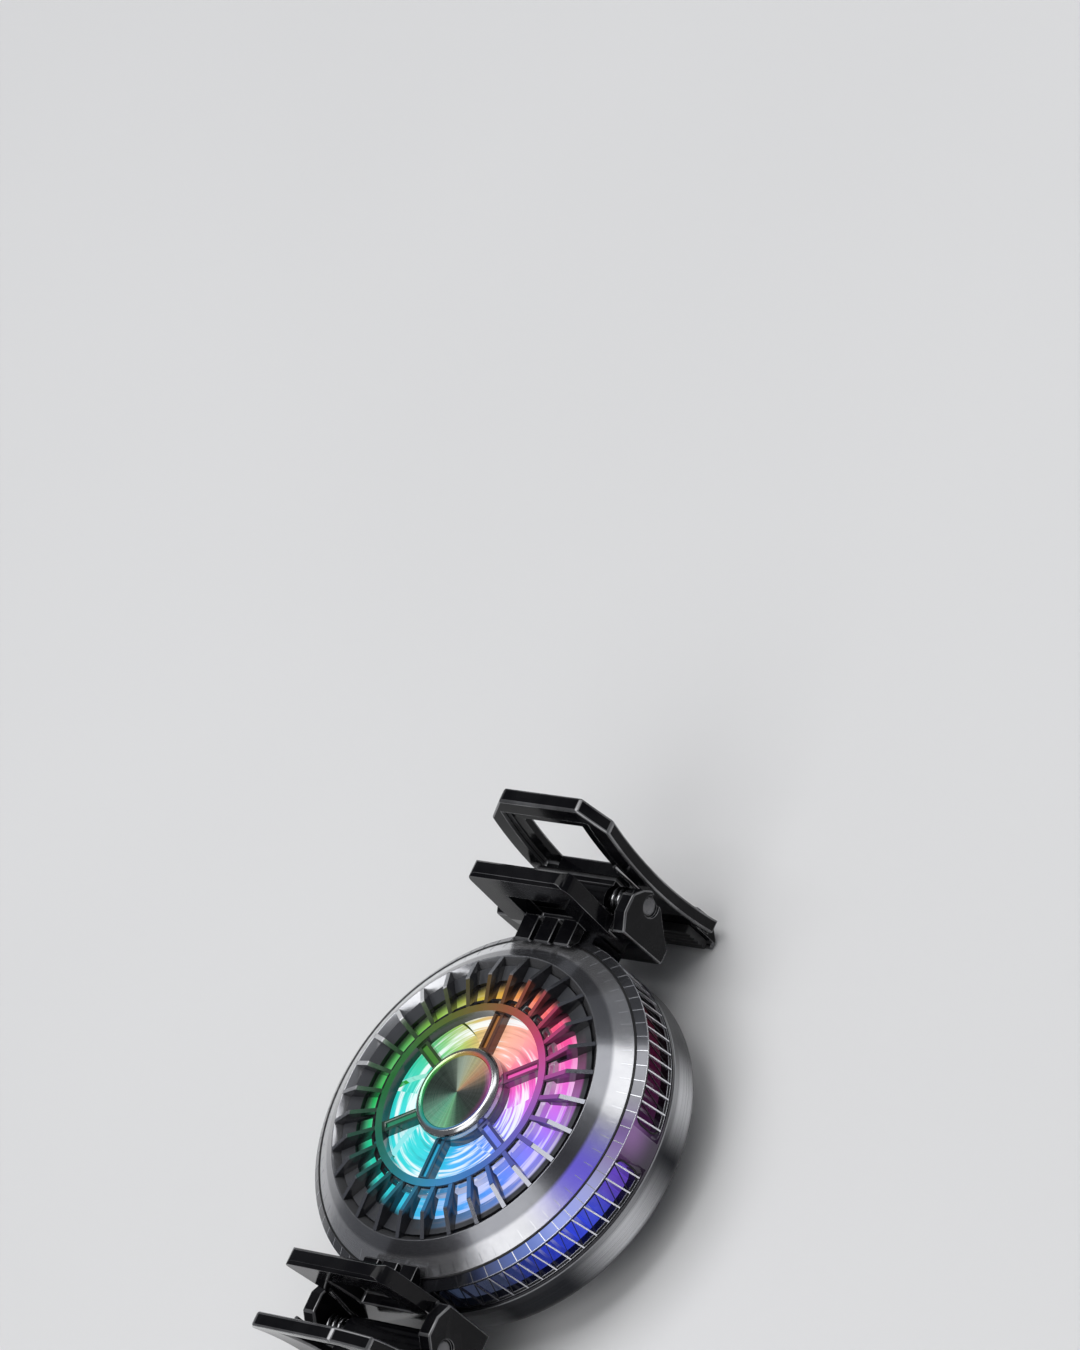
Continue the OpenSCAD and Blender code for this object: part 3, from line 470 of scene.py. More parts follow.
def cooling_fins():
    """Aluminium fins with a painted glow of the light between them: green on one side, blue to
    violet on the other, almost none towards the lower clip.
    """
    mat = Finish("lit_cooling_fins", Metallic=0.9)
    mat.paint(mat.mottled((0.2, 0.203, 0.22), (0.28, 0.283, 0.3), 400))
    mat.grain(1100, 0.22, 0.36, 0.08)
    # Painted glow of the inner light on the fins
    level = mat.ease(mat.near_angle(172, 60), 0, 1, 0.03, 0.4)
    spill = mat.mix(level, BLACK, mat.light_colour())
    spill = mat.mix(mat.near_angle(-68, 26), spill, (0.024, 0.03, 0.055))
    spill = mat.mix(mat.near_angle(-28, 36), spill, (0.02, 0.036, 0.42))
    mat.glow(mat.mix(mat.near_angle(-8, 15), spill, (0.075, 0.035, 0.30)))
    return mat.material


GUIDE_EDGE, GUIDE_REACH = (17.8, 19.8), 2.9
PALE_LILAC = (0.93, 0.86, 1)


def light_guide():
    """Milky guide: each light colour in turn, with pale streaks, fading to its dark outer edge; on
    the far side the glow stops short and its streaks are fainter, a painted shade of the ribs.
    """
    mat = Finish("milky_light_guide", IOR=1.49, Coat_Weight=0.4, Coat_Roughness=0.08)
    # Painted shade: on the far side the glow reaches less far and its pale streaks are fainter
    near = mat.near_angle(-25, 100)
    pale = mat.product(mat.ease(mat.streak(0.9, 1.2, 0.012), 0.47, 0.6, 0, 0.62),
                       mat.ease(near, 0, 1, 0.15, 1))
    hue = mat.light_colour()
    lit = mat.mix(pale, hue, PALE_LILAC)
    reach = mat.math("SUBTRACT", mat.radius, mat.ease(near, 0, 0.6, 0, GUIDE_REACH))
    mat.glow(mat.mix(mat.ease(reach, *GUIDE_EDGE), lit, (0.008, 0.008, 0.010)), 0.95)
    mat.paint(mat.mix(0.85, hue, (0.03, 0.03, 0.03)))
    mat.grain(1200, 0.12, 0.2, 0.05)
    return mat.material


def blower_wheel():
    """White wheel lit by the ring of lights as a painted glow, teal and peach in two sectors, with
    the pale swirls of a wheel in motion.
    """
    mat = Finish("lit_wheel", IOR=1.49, Specular_IOR_Level=0.1)
    swirl = mat.total(mat.product(mat.streak(0.5, 0.7, 0.016), 0.6),
                      mat.product(mat.streak(1.7, 0.9, 0.03), 0.4))
    # Painted glow of the ring of lights, also tinting the base colour
    hue = mat.light_colour()
    teal = mat.product(mat.near_angle(-155, 95), 0.85)
    hue = mat.mix(teal, hue, (0.03, 0.70, 0.78))
    peach = mat.product(mat.near_angle(80, 60), 0.45)
    hue = mat.mix(peach, hue, (1, 0.72, 0.62))
    pale = mat.mix(mat.facing_up(), (0.3, 0.3, 0.3), mat.ease(swirl, 0.475, 0.575, 0.0, 0.92))
    lit = mat.mix(pale, hue, (0.92, 0.98, 1))
    mat.glow(mat.mix(mat.ease(swirl, 0.36, 0.46, 0.7, 1), BLACK, lit), 0.95)
    mat.paint(mat.mix(0.85, hue, (0.04, 0.04, 0.04)))
    mat.grain(1200, 0.4, 0.55, 0.05)
    return mat.material


# Radii of the grille's forms from the hub outwards, then heights from below upwards
SPOKE_SPAN, RING_SPAN, INNER_HOOP_SPAN = (7.6, 13.8), (14.0, 15.33), (15.36, 16.7)
RIB_SPAN, KNEE, HOOP_EDGE = (15.4, 19.8), (19.7, 20.1), (21.3, 21.8)
HOOP_TOP, SLOPE_FOOT = (17.8, 17.9), (17.9, 18.2)
INNER_HOOP_TOP, CHANNEL_FLOOR, GRILLE_TOP = (18.4, 18.5), (18.4, 18.6), (18.7, 18.95)


def grille_black():
    """Dark glossy grille: ring, ribs and spokes take the light colours as a painted glow, the ribs'
    up-facing ends are painted silver highlights, brighter on the far side.
    """
    mat = Finish("dark_grille", Coat_Weight=0.5, Coat_Roughness=0.05)
    up = mat.facing_up()
    outside = mat.ease(mat.radius, *KNEE)
    # Painted highlight: up-facing rib ends silver and metallic
    painted_top_highlight = mat.product(up, outside, mat.ease(mat.height, *SLOPE_FOOT))
    hoop = mat.product(up, outside, mat.ease(mat.height, *HOOP_TOP, 1, 0))
    black = mat.mottled((0.008, 0.008, 0.010), (0.020, 0.020, 0.024), 300)
    grey = mat.mix(hoop, black, (0.05, 0.052, 0.058))
    # Painted reflection: the silver brighter on the far side
    bright = mat.mix(mat.near_angle(140, 75), (0.17, 0.175, 0.20), (0.85, 0.86, 0.88))
    mat.paint(mat.mix(painted_top_highlight, grey, bright))
    mat.set("Metallic", mat.product(painted_top_highlight, 0.85))
    mat.grain(1400, 0.12, 0.22, 0.04)
    # Painted glow on ring, ribs, spokes and channel, weaker on walls and on the far side
    top = mat.ease(mat.height, *GRILLE_TOP)
    ring = mat.product(mat.between(mat.radius, *RING_SPAN, 0.06), top)
    rib = mat.product(mat.between(mat.radius, *RIB_SPAN, 0.3), top)
    spoke = mat.between(mat.radius, *SPOKE_SPAN, 0.15)
    channel = mat.product(spoke, mat.ease(mat.height, *CHANNEL_FLOOR, 1, 0))
    rib_level = mat.ease(mat.near_angle(-5, 150), 0, 0.6, 0.2, 0.42)
    level = mat.total(mat.product(ring, 0.55), mat.product(rib, rib_level),
                      mat.product(spoke, 0.22), mat.product(channel, 0.7))
    near = mat.ease(mat.near_angle(-15, 140), 0, 0.7, 0.4, 1)
    level = mat.product(level, near, mat.ease(up, 0, 1, 0.14, 1))
    # Painted glow on the inner hoop and, on the near side, on the outer hoop
    inner = mat.product(mat.between(mat.radius, *INNER_HOOP_SPAN, 0.05),
                        mat.ease(mat.height, *INNER_HOOP_TOP, 1, 0))
    shine = mat.product(inner, mat.near_angle(-28, 95), 0.85)
    beyond = mat.product(hoop, mat.near_angle(-24, 66), mat.ease(mat.radius, *HOOP_EDGE, 0.8, 0))
    shine = mat.largest(shine, beyond)
    colour = mat.light_colour()
    pale = mat.ease(mat.streak(0.9, 1.2, 0.012), 0.44, 0.58, 0.05, 0.6)
    through = mat.mix(pale, colour, PALE_LILAC)
    mat.glow(mat.mix(shine, mat.mix(level, BLACK, colour), through))
    return mat.material


def window_marks(name, pale, dark):
    """Fine bright marks, pale over the lit side, with a painted shade that darkens them towards the
    lower clip.
    """
    mat = Finish(name, Metallic=0.75)
    # Painted shade near -72 degrees
    shade = mat.mix(mat.near_angle(-72, 36), pale, dark)
    flecks = mat.mottled((0.86, 0.86, 0.88), WHITE, 400)
    mat.paint(mat.times(shade, flecks))
    mat.grain(1300, 0.14, 0.26, 0.05)
    return mat.material


# Colours round the disc (angle, colour): painted reflections of the light colours
DISC_PAINTED_REFLECTIONS = [
    (-180, (0.07, 0.13, 0.10)), (-140, (0.08, 0.26, 0.17)), (-105, (0.10, 0.40, 0.24)),
    (-80, (0.22, 0.66, 0.32)), (-62, (0.11, 0.30, 0.18)), (-30, (0.13, 0.18, 0.15)),
    (10, (0.22, 0.23, 0.21)), (34, (0.34, 0.22, 0.14)), (52, (0.58, 0.27, 0.12)),
    (78, (0.46, 0.42, 0.20)), (106, (0.46, 0.56, 0.44)), (128, (0.17, 0.23, 0.18)),
    (180, (0.07, 0.13, 0.10))]
DISC_EDGE, TRIM_INSIDE, CHIP_FOOT = (4.9, 6.0), (6.35, 6.75), (15.12, 15.2)


def brushed_disc():
    """Disc brushed in rings, so its shine runs in cones from the middle, with painted reflections
    of the light colours in cones round it and a painted pink reflection near its rim.
    """
    mat = Finish("brushed_hub_disc", Metallic=0.95, Anisotropic=0.85, Roughness=0.34)
    mat.brushed_round()
    ring = mat.streak(22, 1.5)
    ray = mat.streak(0.02, 9)
    fine = mat.mix(mat.ease(ray, *NOISE_SPAN), (0.62, 0.62, 0.62), WHITE)
    cone = mat.times(mat.round_ramp(mat.angle, DISC_PAINTED_REFLECTIONS), fine)
    # Painted pink reflection near the rim around 0 degrees
    pink_reflection = mat.product(mat.near_angle(0, 62), mat.ease(mat.radius, *DISC_EDGE))
    pink = mat.mix(pink_reflection, cone, (0.7, 0.12, 0.5))
    sheen = mat.ease(ring, *NOISE_SPAN, 0, 0.25)
    mat.paint(mat.mix(sheen, pink, (0.5, 0.56, 0.5)))
    mat.bump(ring, 0.08)
    return mat.material


def polished_trim():
    """Polished ring that picks up the light colours along its inner edge, as a painted reflection
    in its colour and a painted glow.
    """
    mat = Finish("polished_trim", Metallic=1.0)
    inner = mat.ease(mat.radius, *TRIM_INSIDE, 1, 0)
    colour = mat.light_colour()
    mat.paint(mat.mix(mat.product(inner, 0.5), (0.5, 0.505, 0.51), colour))
    mat.grain(900, 0.16, 0.26, 0.03)
    mat.glow(mat.mix(mat.product(inner, 0.3), BLACK, colour))
    return mat.material


def light_board():
    """White board with yellow-white chips that shine in the light colours."""
    mat = Finish("white_light_board")
    chip = mat.ease(mat.height, *CHIP_FOOT)
    board = mat.mottled((0.7, 0.71, 0.69), (0.8, 0.8, 0.78), 500)
    mat.paint(mat.mix(chip, board, (0.8, 0.66, 0.2)))
    mat.grain(800, 0.35, 0.5)
    mat.glow(mat.mix(chip, BLACK, mat.light_colour()))
    return mat.material


def circuit_board():
    """Green board with a pattern of fine lines under its lacquer."""
    mat = Finish("green_board", Coat_Weight=0.5)
    lines = mat.add("ShaderNodeTexBrick", {
        "Vector": mat.place, "Scale": 420, "Mortar Size": 0.03, "Color1": (0.012, 0.10, 0.035),
        "Color2": (0.015, 0.13, 0.045), "Mortar": (0.10, 0.24, 0.06)})
    mat.paint(lines.outputs["Color"])
    mat.grain(700, 0.3, 0.42)
    return mat.material


def cold_pad():
    """Soft grey silicone with a fine cross pattern pressed into it."""
    mat = Finish("cold_pad_silicone")
    mat.paint(mat.mottled((0.27, 0.29, 0.31), (0.36, 0.38, 0.40), 180))
    weave = mat.add("ShaderNodeTexChecker", {"Vector": mat.place, "Scale": 1400})
    made = mat.use(fine_grain, Place=mat.place, Grains=1500, Low=0.55, High=0.72)
    mat.set("Roughness", made["Roughness"])
    mat.bump(mat.total(weave.outputs["Fac"], made["Height"]), 0.25, 0.00005)
    return mat.material


MATERIALS = {
    "gunmetal": rear_ring_metal(),
    "cold_pad_silicone": cold_pad(),
    "aluminium": turned_metal("turned_aluminium", (0.66, 0.67, 0.69), (0.8, 0.8, 0.82), 0.25, 0.38),
    "fins": cooling_fins(),
    "magnet": plain_finish(
        "nickel_magnet", (0.42, 0.42, 0.43), (0.55, 0.55, 0.56), 600, 0.2, 0.32, Metallic=1.0),
    "circuit_board": circuit_board(),
    "steel": plain_finish(
        "bright_steel", (0.5, 0.51, 0.53), (0.66, 0.67, 0.68), 900, 0.18, 0.3, Metallic=1.0),
    "module_ceramic": plain_finish(
        "white_ceramic", (0.68, 0.68, 0.66), (0.8, 0.8, 0.78), 700, 0.35, 0.5),
    "foam": plain_finish(
        "black_foam", (0.02, 0.02, 0.02), (0.05, 0.05, 0.05), 500, 0.8, 0.95, 300, 0.5),
    "copper_winding": turned_metal(
        "copper_winding", (0.42, 0.16, 0.07), (0.7, 0.3, 0.15), 0.25, 0.4, 6.0),
    "bronze": plain_finish(
        "sintered_bronze", (0.34, 0.2, 0.08), (0.5, 0.32, 0.14), 900, 0.35, 0.5, Metallic=1.0),
    "wheel_plastic": blower_wheel(),
    "smoke_bezel": smoke_bezel(),
    "smoke_housing": smoke_housing(),
    "white_board": light_board(),
    "light_guide": light_guide(),
    "grille_black": grille_black(),
    "brushed_disc": brushed_disc(),
    "polished_trim": polished_trim(),
    "clip_black": plain_finish(
        "glossy_clip_black", (0.003, 0.003, 0.004), (0.007, 0.007, 0.008),
        1200, 0.08, 0.16, 200, 0.05, Specular_IOR_Level=0.13),
    # Painted highlight: a brighter metallic copy of the clip black for the clips' rounded edges
    "clip_edge": plain_finish(
        "polished_clip_edge", (0.12, 0.12, 0.124), (0.22, 0.22, 0.226),
        1200, 0.1, 0.18, 200, 0.05, Metallic=0.7),
    "jaw_rubber": plain_finish(
        "jaw_rubber", (0.018, 0.018, 0.019), (0.034, 0.034, 0.035), 1500, 0.6, 0.8, 200, 0.3),
    "black_steel": plain_finish(
        "blackened_pin", (0.10, 0.10, 0.105), (0.17, 0.17, 0.176),
        900, 0.2, 0.32, 200, 0.1, Metallic=1.0),
    "spring_steel": plain_finish(
        "spring_wire", (0.22, 0.22, 0.225), (0.36, 0.36, 0.37),
        1500, 0.14, 0.26, 300, 0.08, Metallic=1.0),
    "tick": window_marks("pale_ticks", (0.70, 0.71, 0.74), (0.05, 0.05, 0.06)),
    "outlet_bar": window_marks("outlet_bar_chrome", (0.86, 0.86, 0.9), (0.06, 0.06, 0.075)),
    "sill_rail": window_marks("sill_rail_steel", (0.36, 0.363, 0.38), (0.05, 0.05, 0.06)),
    "seal_rubber": plain_finish(
        "black_seal", (0.006, 0.006, 0.007), (0.013, 0.013, 0.014),
        1500, 0.35, 0.5, 200, 0.1, Specular_IOR_Level=0.3),
}

FACING = {"upper": 1, "lower": -1}
FINISH_OF_NODE = {
    "thermal_pad": "cold_pad_silicone", "cold_plate": "aluminium", "magnet_ring": "magnet",
    "rear_ring": "gunmetal", "control_board": "circuit_board", "usb_c_port": "steel",
    "tec_module": "module_ceramic", "insulating_gasket": "foam", "heat_sink": "fins",
    "clamp_screws": "steel", "motor_stator": "copper_winding", "sleeve_bearing": "bronze",
    "motor_shaft": "steel", "rotor_magnet": "magnet", "impeller": "wheel_plastic",
    "side_housing": "smoke_housing", "led_board": "white_board", "light_ring": "light_guide",
    "front_bezel": "smoke_bezel", "front_grille": "grille_black", "hub_disc": "brushed_disc",
    "hub_trim_ring": "polished_trim",
}
CLIP_FINISHES = {"bracket": "clip_black", "claw": "clip_black", "jaw_pad": "jaw_rubber",
                 "hinge_pin": "black_steel", "spring": "spring_steel"}
for side in FACING:
    FINISH_OF_NODE.update({f"{side}_{piece}": finish for piece, finish in CLIP_FINISHES.items()})

BODIES = frame["record"]["behaviour"]["bodies"]
BODY_OF_NODE = {n: body for body, members in BODIES.items() for n in members}

for node, finish in FINISH_OF_NODE.items():
    mesh = frame["nodes"][node].data
    mesh.materials.clear()
    mesh.materials.append(MATERIALS[finish])


# ---- CAD nodes with rounded edges

SHARP = math.radians(32)
FLAT = math.radians(0.6)
RUN_ON = math.radians(40)
NEARLY_PARALLEL = 0.5
SHARED_ROOM, FREE_ROOM = 0.47, 0.9
WELD, FINE_WELD = 1e-6, 1e-7


def evaluated_mesh(maker):
    bpy.context.view_layer.update()
    depsgraph = bpy.context.evaluated_depsgraph_get()
    mesh = bpy.data.meshes.new_from_object(maker.evaluated_get(depsgraph), depsgraph=depsgraph)
    bpy.data.objects.remove(maker)
    return mesh


def is_sharp(edge):
    return len(edge.link_faces) == 2 and edge.calc_face_angle() > SHARP


def gap_between(first, second):
    """Distance between two edges that don't meet, taken from their ends."""
    gaps = []
    for one, other in ((first, second), (second, first)):
        start, end = (v.co for v in other.verts)
        for vert in one.verts:
            share = intersect_point_line(vert.co, start, end)[1]
            near = start.lerp(end, min(max(share, 0), 1))
            gaps.append((vert.co - near).length)
    return min(gaps)


def room_beside(edge):
    """How far an edge can be cut back before the cut meets another edge, or another cut."""
    room = math.inf
    along = (edge.verts[1].co - edge.verts[0].co).normalized()
    for face in edge.link_faces:
        for other in face.edges:
            if other is edge:
                continue
            if set(other.verts) & set(edge.verts):
                span = other.verts[1].co - other.verts[0].co
                if along.cross(span.normalized()).length < NEARLY_PARALLEL:
                    continue
                gap = along.cross(span).length
                far = [v for v in other.verts if v not in edge.verts]
                shared = any(is_sharp(e) for v in far for e in v.link_edges)
            else:
                gap = gap_between(edge, other)
                shared = is_sharp(other)
            room = min(room, gap * (SHARED_ROOM if shared else FREE_ROOM))
    return room


def level_cuts(work, share):
    """Give edges that run on into each other the smaller of their two cuts."""
    changed = True
    while changed:
        changed = False
        for vert in work.verts:
            cut = [e for e in vert.link_edges if e[share] > 0]
            for one, other in itertools.combinations(cut, 2):
                onward = vert.co - other.other_vert(vert).co
                bend = (one.other_vert(vert).co - vert.co).angle(onward)
                low, high = sorted((one[share], other[share]))
                if bend < RUN_ON and high > low:
                    one[share] = other[share] = low
                    changed = True


def softened(node, width, edge=None, segments=2):
    """Copy of a CAD node with rounded edges and smooth curves, standing for that node."""
    mesh = frame["nodes"][node].data.copy()
    work = bmesh.new()
    work.from_mesh(mesh)
    bmesh.ops.remove_doubles(work, verts=work.verts, dist=WELD)
    bmesh.ops.dissolve_limit(work, angle_limit=FLAT, verts=work.verts, edges=work.edges)
    if width:
        share = work.edges.layers.float.new("bevel_weight_edge")
        for line in work.edges:
            if is_sharp(line):
                line[share] = min(1, room_beside(line) / (width * MM))
        level_cuts(work, share)
    work.to_mesh(mesh)
    work.free()
    mesh.shade_smooth()
    mesh.set_sharp_from_angle(angle=SHARP)
    finishes = [FINISH_OF_NODE[node]] + ([edge] if edge else [])
    mesh.materials.clear()
    for finish in finishes:
        mesh.materials.append(MATERIALS[finish])
    maker = link(node + "_maker", mesh)
    if width:
        bevel = maker.modifiers.new("round_edges", "BEVEL")
        bevel.width = width * MM
        bevel.segments = segments
        bevel.limit_method = "WEIGHT"
        bevel.use_clamp_overlap = False
        bevel.harden_normals = True
        bevel.material = len(finishes) - 1
    made = link(node + "_shell", evaluated_mesh(maker))
    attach(made, BODY_OF_NODE[node])
    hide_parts(node)


# Width of the rounded edges in millimetres, 0 for smooth curves alone, and the edges' own finish
FAN_EDGES = {"rear_ring": 0.2, "side_housing": 0.0, "front_bezel": 0.15, "front_grille": 0.0,
             "hub_disc": 0.1, "usb_c_port": 0.0}
# On the clips the edges' own finish is a painted highlight
CLIP_EDGES = {"bracket": (0.3, "clip_edge"), "claw": (0.4, "clip_edge"), "jaw_pad": (0.15, None),
              "hinge_pin": (0.2, None)}
for node, width in FAN_EDGES.items():
    softened(node, width)
for side in FACING:
    for piece, (width, edge) in CLIP_EDGES.items():
        softened(f"{side}_{piece}", width, edge, segments=3)


# ---- pieces from geometry trees

def geometry_tree(name, inputs):
    return new_group(name, inputs, [("Geometry", SHAPE)], "GeometryNodeTree")


def close_tree(nodes, out, shape, finish):
    """End a geometry tree with real meshes and their finish."""
    real = nodes.add("GeometryNodeRealizeInstances", {"Geometry": shape}).outputs[0]
    done = nodes.add("GeometryNodeSetMaterial", {"Geometry": real, "Material": finish})
    nodes.put(out["Geometry"], done.outputs[0])
    return nodes.tree


def set_round(nodes, shape, count, turn, keep=True):
    """Copies of a shape, each turned round the fan's axis."""
    points = nodes.add("GeometryNodeMeshLine", {"Count": count, "Offset": (0, 0, 0)})
    copies = nodes.add("GeometryNodeInstanceOnPoints", {
        "Points": points.outputs["Mesh"], "Selection": keep, "Instance": shape,
        "Rotation": nodes.joined(z=turn)})
    return copies.outputs[0]


def baked(name, tree, values):
    """Plain mesh object from a geometry tree with these inputs."""
    maker = link(name + "_maker", bpy.data.meshes.new(name + "_maker"))
    modifier = maker.modifiers.new("maker", "NODES")
    modifier.node_group = tree
    for item in tree.interface.items_tree:
        if item.in_out == "INPUT" and item.name in values:
            modifier[item.identifier] = values[item.name]
    mesh = evaluated_mesh(maker)
    work = bmesh.new()
    work.from_mesh(mesh)
    bmesh.ops.remove_doubles(work, verts=work.verts, dist=FINE_WELD)
    bmesh.ops.recalc_face_normals(work, faces=work.faces)
    work.to_mesh(mesh)
    work.free()
    return link(name, mesh)


def make_spring_tree():
    """Round wire that follows a leg, a coil round the X axis and a second leg."""
    nodes, given, out = geometry_tree("torsion_spring", [
        ("First leg", VECTOR, None), ("Last leg", VECTOR, None), ("Coil start", VECTOR, None),
        ("Coil length", FLOAT, 0), ("Coil radius", FLOAT, 0), ("Turns", FLOAT, 0),
        ("Facing", FLOAT, 1), ("Points", WHOLE, 0), ("Wire radius", FLOAT, 0),
        ("Wire", FINISH, None)])
    line = nodes.add("GeometryNodeMeshLine", {"Count": given["Points"]}).outputs["Mesh"]
    index = nodes.add("GeometryNodeInputIndex").outputs[0]
    last = nodes.math("SUBTRACT", given["Points"], 1)
    share = nodes.math("DIVIDE", nodes.math("SUBTRACT", index, 1), nodes.math("SUBTRACT", last, 2))
    turn = nodes.total(nodes.product(share, given["Turns"], math.tau), math.pi)
    coil = nodes.joined(
        nodes.product(share, given["Coil length"]),
        nodes.product(nodes.math("COSINE", turn), given["Coil radius"], given["Facing"]),
        nodes.product(nodes.math("SINE", turn), given["Coil radius"]))
    coil = nodes.vector("ADD", coil, given["Coil start"])

    def pick(test, yes, no):
        choices = {"Switch": test, "True": yes, "False": no}
        return nodes.add("GeometryNodeSwitch", choices, input_type="VECTOR").outputs[0]

    start = nodes.math("LESS_THAN", index, 0.5)
    end = nodes.math("GREATER_THAN", index, nodes.math("SUBTRACT", last, 0.5))
    place = pick(start, given["First leg"], pick(end, given["Last leg"], coil))
    route = nodes.add("GeometryNodeSetPosition", {"Geometry": line, "Position": place}).outputs[0]
    curve = nodes.add("GeometryNodeMeshToCurve", {"Mesh": route}).outputs[0]
    profile = nodes.add("GeometryNodeCurvePrimitiveCircle", {
        "Resolution": 12, "Radius": given["Wire radius"]})
    tube = nodes.add("GeometryNodeCurveToMesh", {
        "Curve": curve, "Profile Curve": profile.outputs[0], "Fill Caps": True}).outputs[0]
    smooth = nodes.add("GeometryNodeSetShadeSmooth", {"Geometry": tube}).outputs[0]
    return close_tree(nodes, out, smooth, given["Wire"])


def make_tick_tree():
    """Fine strips set round the axis along a face, left out near clips and panels."""
    nodes, given, out = geometry_tree("radial_ticks", [
        ("Count", WHOLE, 60), ("First angle", FLOAT, 0), ("Inner", VECTOR, None),
        ("Outer", VECTOR, None), ("Width", FLOAT, 0), ("Proud", FLOAT, 0), ("Lean", FLOAT, 0),
        ("Clip half width", FLOAT, 0), ("Panel half width", FLOAT, 0), ("Tick", FINISH, None)])
    index = nodes.add("GeometryNodeInputIndex").outputs[0]
    step = nodes.math("DIVIDE", math.tau, given["Count"])
    turn = nodes.total(nodes.product(index, step), given["First angle"])
    along = nodes.vector("SUBTRACT", given["Outer"], given["Inner"])
    length = nodes.add("ShaderNodeVectorMath", {0: along}, operation="LENGTH").outputs["Value"]
    run, _, drop = nodes.split(along)
    slope = nodes.product(nodes.math("ARCTAN2", drop, run), -1)
    size = nodes.joined(length, given["Width"], given["Proud"])
    strip = nodes.add("GeometryNodeMeshCube", {"Size": size}).outputs["Mesh"]
    strip = nodes.add("GeometryNodeTransform", {
        "Geometry": strip, "Rotation": nodes.joined(z=given["Lean"])}).outputs[0]
    middle = nodes.scaled(nodes.vector("ADD", given["Outer"], given["Inner"]), 0.5)
    strip = nodes.add("GeometryNodeTransform", {
        "Geometry": strip, "Translation": middle, "Rotation": nodes.joined(y=slope)}).outputs[0]
    reach = nodes.split(given["Outer"])[0]
    from_clip = nodes.math("ABSOLUTE", nodes.product(nodes.math("COSINE", turn), reach))
    from_panel = nodes.math("ABSOLUTE", nodes.product(nodes.math("SINE", turn), reach))
    keep = nodes.product(nodes.math("GREATER_THAN", from_clip, given["Clip half width"]),
                         nodes.math("GREATER_THAN", from_panel, given["Panel half width"]))
    ticks = set_round(nodes, strip, given["Count"], turn, keep)
    return close_tree(nodes, out, ticks, given["Tick"])


def make_vane_tree():
    """Broad vanes, each rising a little round the axis, as at the mouth of a blower wheel."""
    nodes, given, out = geometry_tree("inlet_vanes", [
        ("Vanes", WHOLE, 7), ("Inner radius", FLOAT, 0), ("Outer radius", FLOAT, 0),
        ("Foot level", FLOAT, 0), ("Rise", FLOAT, 0), ("Arc", FLOAT, 0), ("Sweep", FLOAT, 0),
        ("Thickness", FLOAT, 0), ("Vane", FINISH, None)])
    block = nodes.add("GeometryNodeMeshCube", {
        "Size": (1, 1, 1), "Vertices X": 24, "Vertices Y": 10}).outputs["Mesh"]
    where = nodes.split(nodes.add("GeometryNodeInputPosition").outputs[0])
    along = nodes.total(where[0], 0.5)
    across = nodes.total(where[1], 0.5)
    turn = nodes.total(nodes.product(along, given["Arc"]), nodes.product(across, given["Sweep"]))
    reach = nodes.math("SUBTRACT", given["Outer radius"], given["Inner radius"])
    radius = nodes.total(given["Inner radius"], nodes.product(across, reach))
    level = nodes.total(given["Foot level"], nodes.product(along, given["Rise"]),
                        nodes.product(where[2], given["Thickness"]))
    place = nodes.joined(nodes.product(radius, nodes.math("COSINE", turn)),
                         nodes.product(radius, nodes.math("SINE", turn)), level)
    vane = nodes.add("GeometryNodeSetPosition", {"Geometry": block, "Position": place}).outputs[0]
    index = nodes.add("GeometryNodeInputIndex").outputs[0]
    step = nodes.product(index, nodes.math("DIVIDE", math.tau, given["Vanes"]))
    return close_tree(nodes, out, set_round(nodes, vane, given["Vanes"], step), given["Vane"])


VANES = 7
VANE_SHARE = 0.97
vanes = baked("inlet_vanes", make_vane_tree(), {
    "Vanes": VANES, "Inner radius": 7.7 * MM, "Outer radius": 15.5 * MM, "Foot level": 16.05 * MM,
    "Rise": 0.75 * MM, "Arc": math.tau / VANES * VANE_SHARE, "Sweep": math.radians(24),
    "Thickness": 0.22 * MM, "Vane": MATERIALS["wheel_plastic"]})
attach(vanes, BODY_OF_NODE["impeller"])

# Places of the spring wire on the upper clip, in millimetres
SPRING_FIRST, SPRING_LAST = (6.225, 34.25, 20.1), (10.25, 39.55, 20.1)
SPRING_COIL = (6.225, 37.3, 12.5)


def on_clip(place, facing):
    x, y, z = place
    return Vector((x * facing, y * facing, z)) * MM


spring_tree = make_spring_tree()
for side, facing in FACING.items():
    final = on_clip(SPRING_LAST, facing)
    coil_start = on_clip(SPRING_COIL, facing)
    spring = baked(side + "_spring_wire", spring_tree, {
        "First leg": on_clip(SPRING_FIRST, facing), "Last leg": final, "Coil start": coil_start,
        "Coil length": 4.025 * facing * MM, "Coil radius": 2.0 * MM, "Turns": 3.5,
        "Facing": float(facing), "Points": 115, "Wire radius": 0.35 * MM,
        "Wire": MATERIALS["spring_steel"]})
    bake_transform(spring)
    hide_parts(side + "_spring")

FIN_COUNT = 72
FIN_STEP = math.radians(5)
HALF_STEP = FIN_STEP / 2
BAR_LEAN, BRACE_LEAN = math.radians(6), math.radians(-18.7)
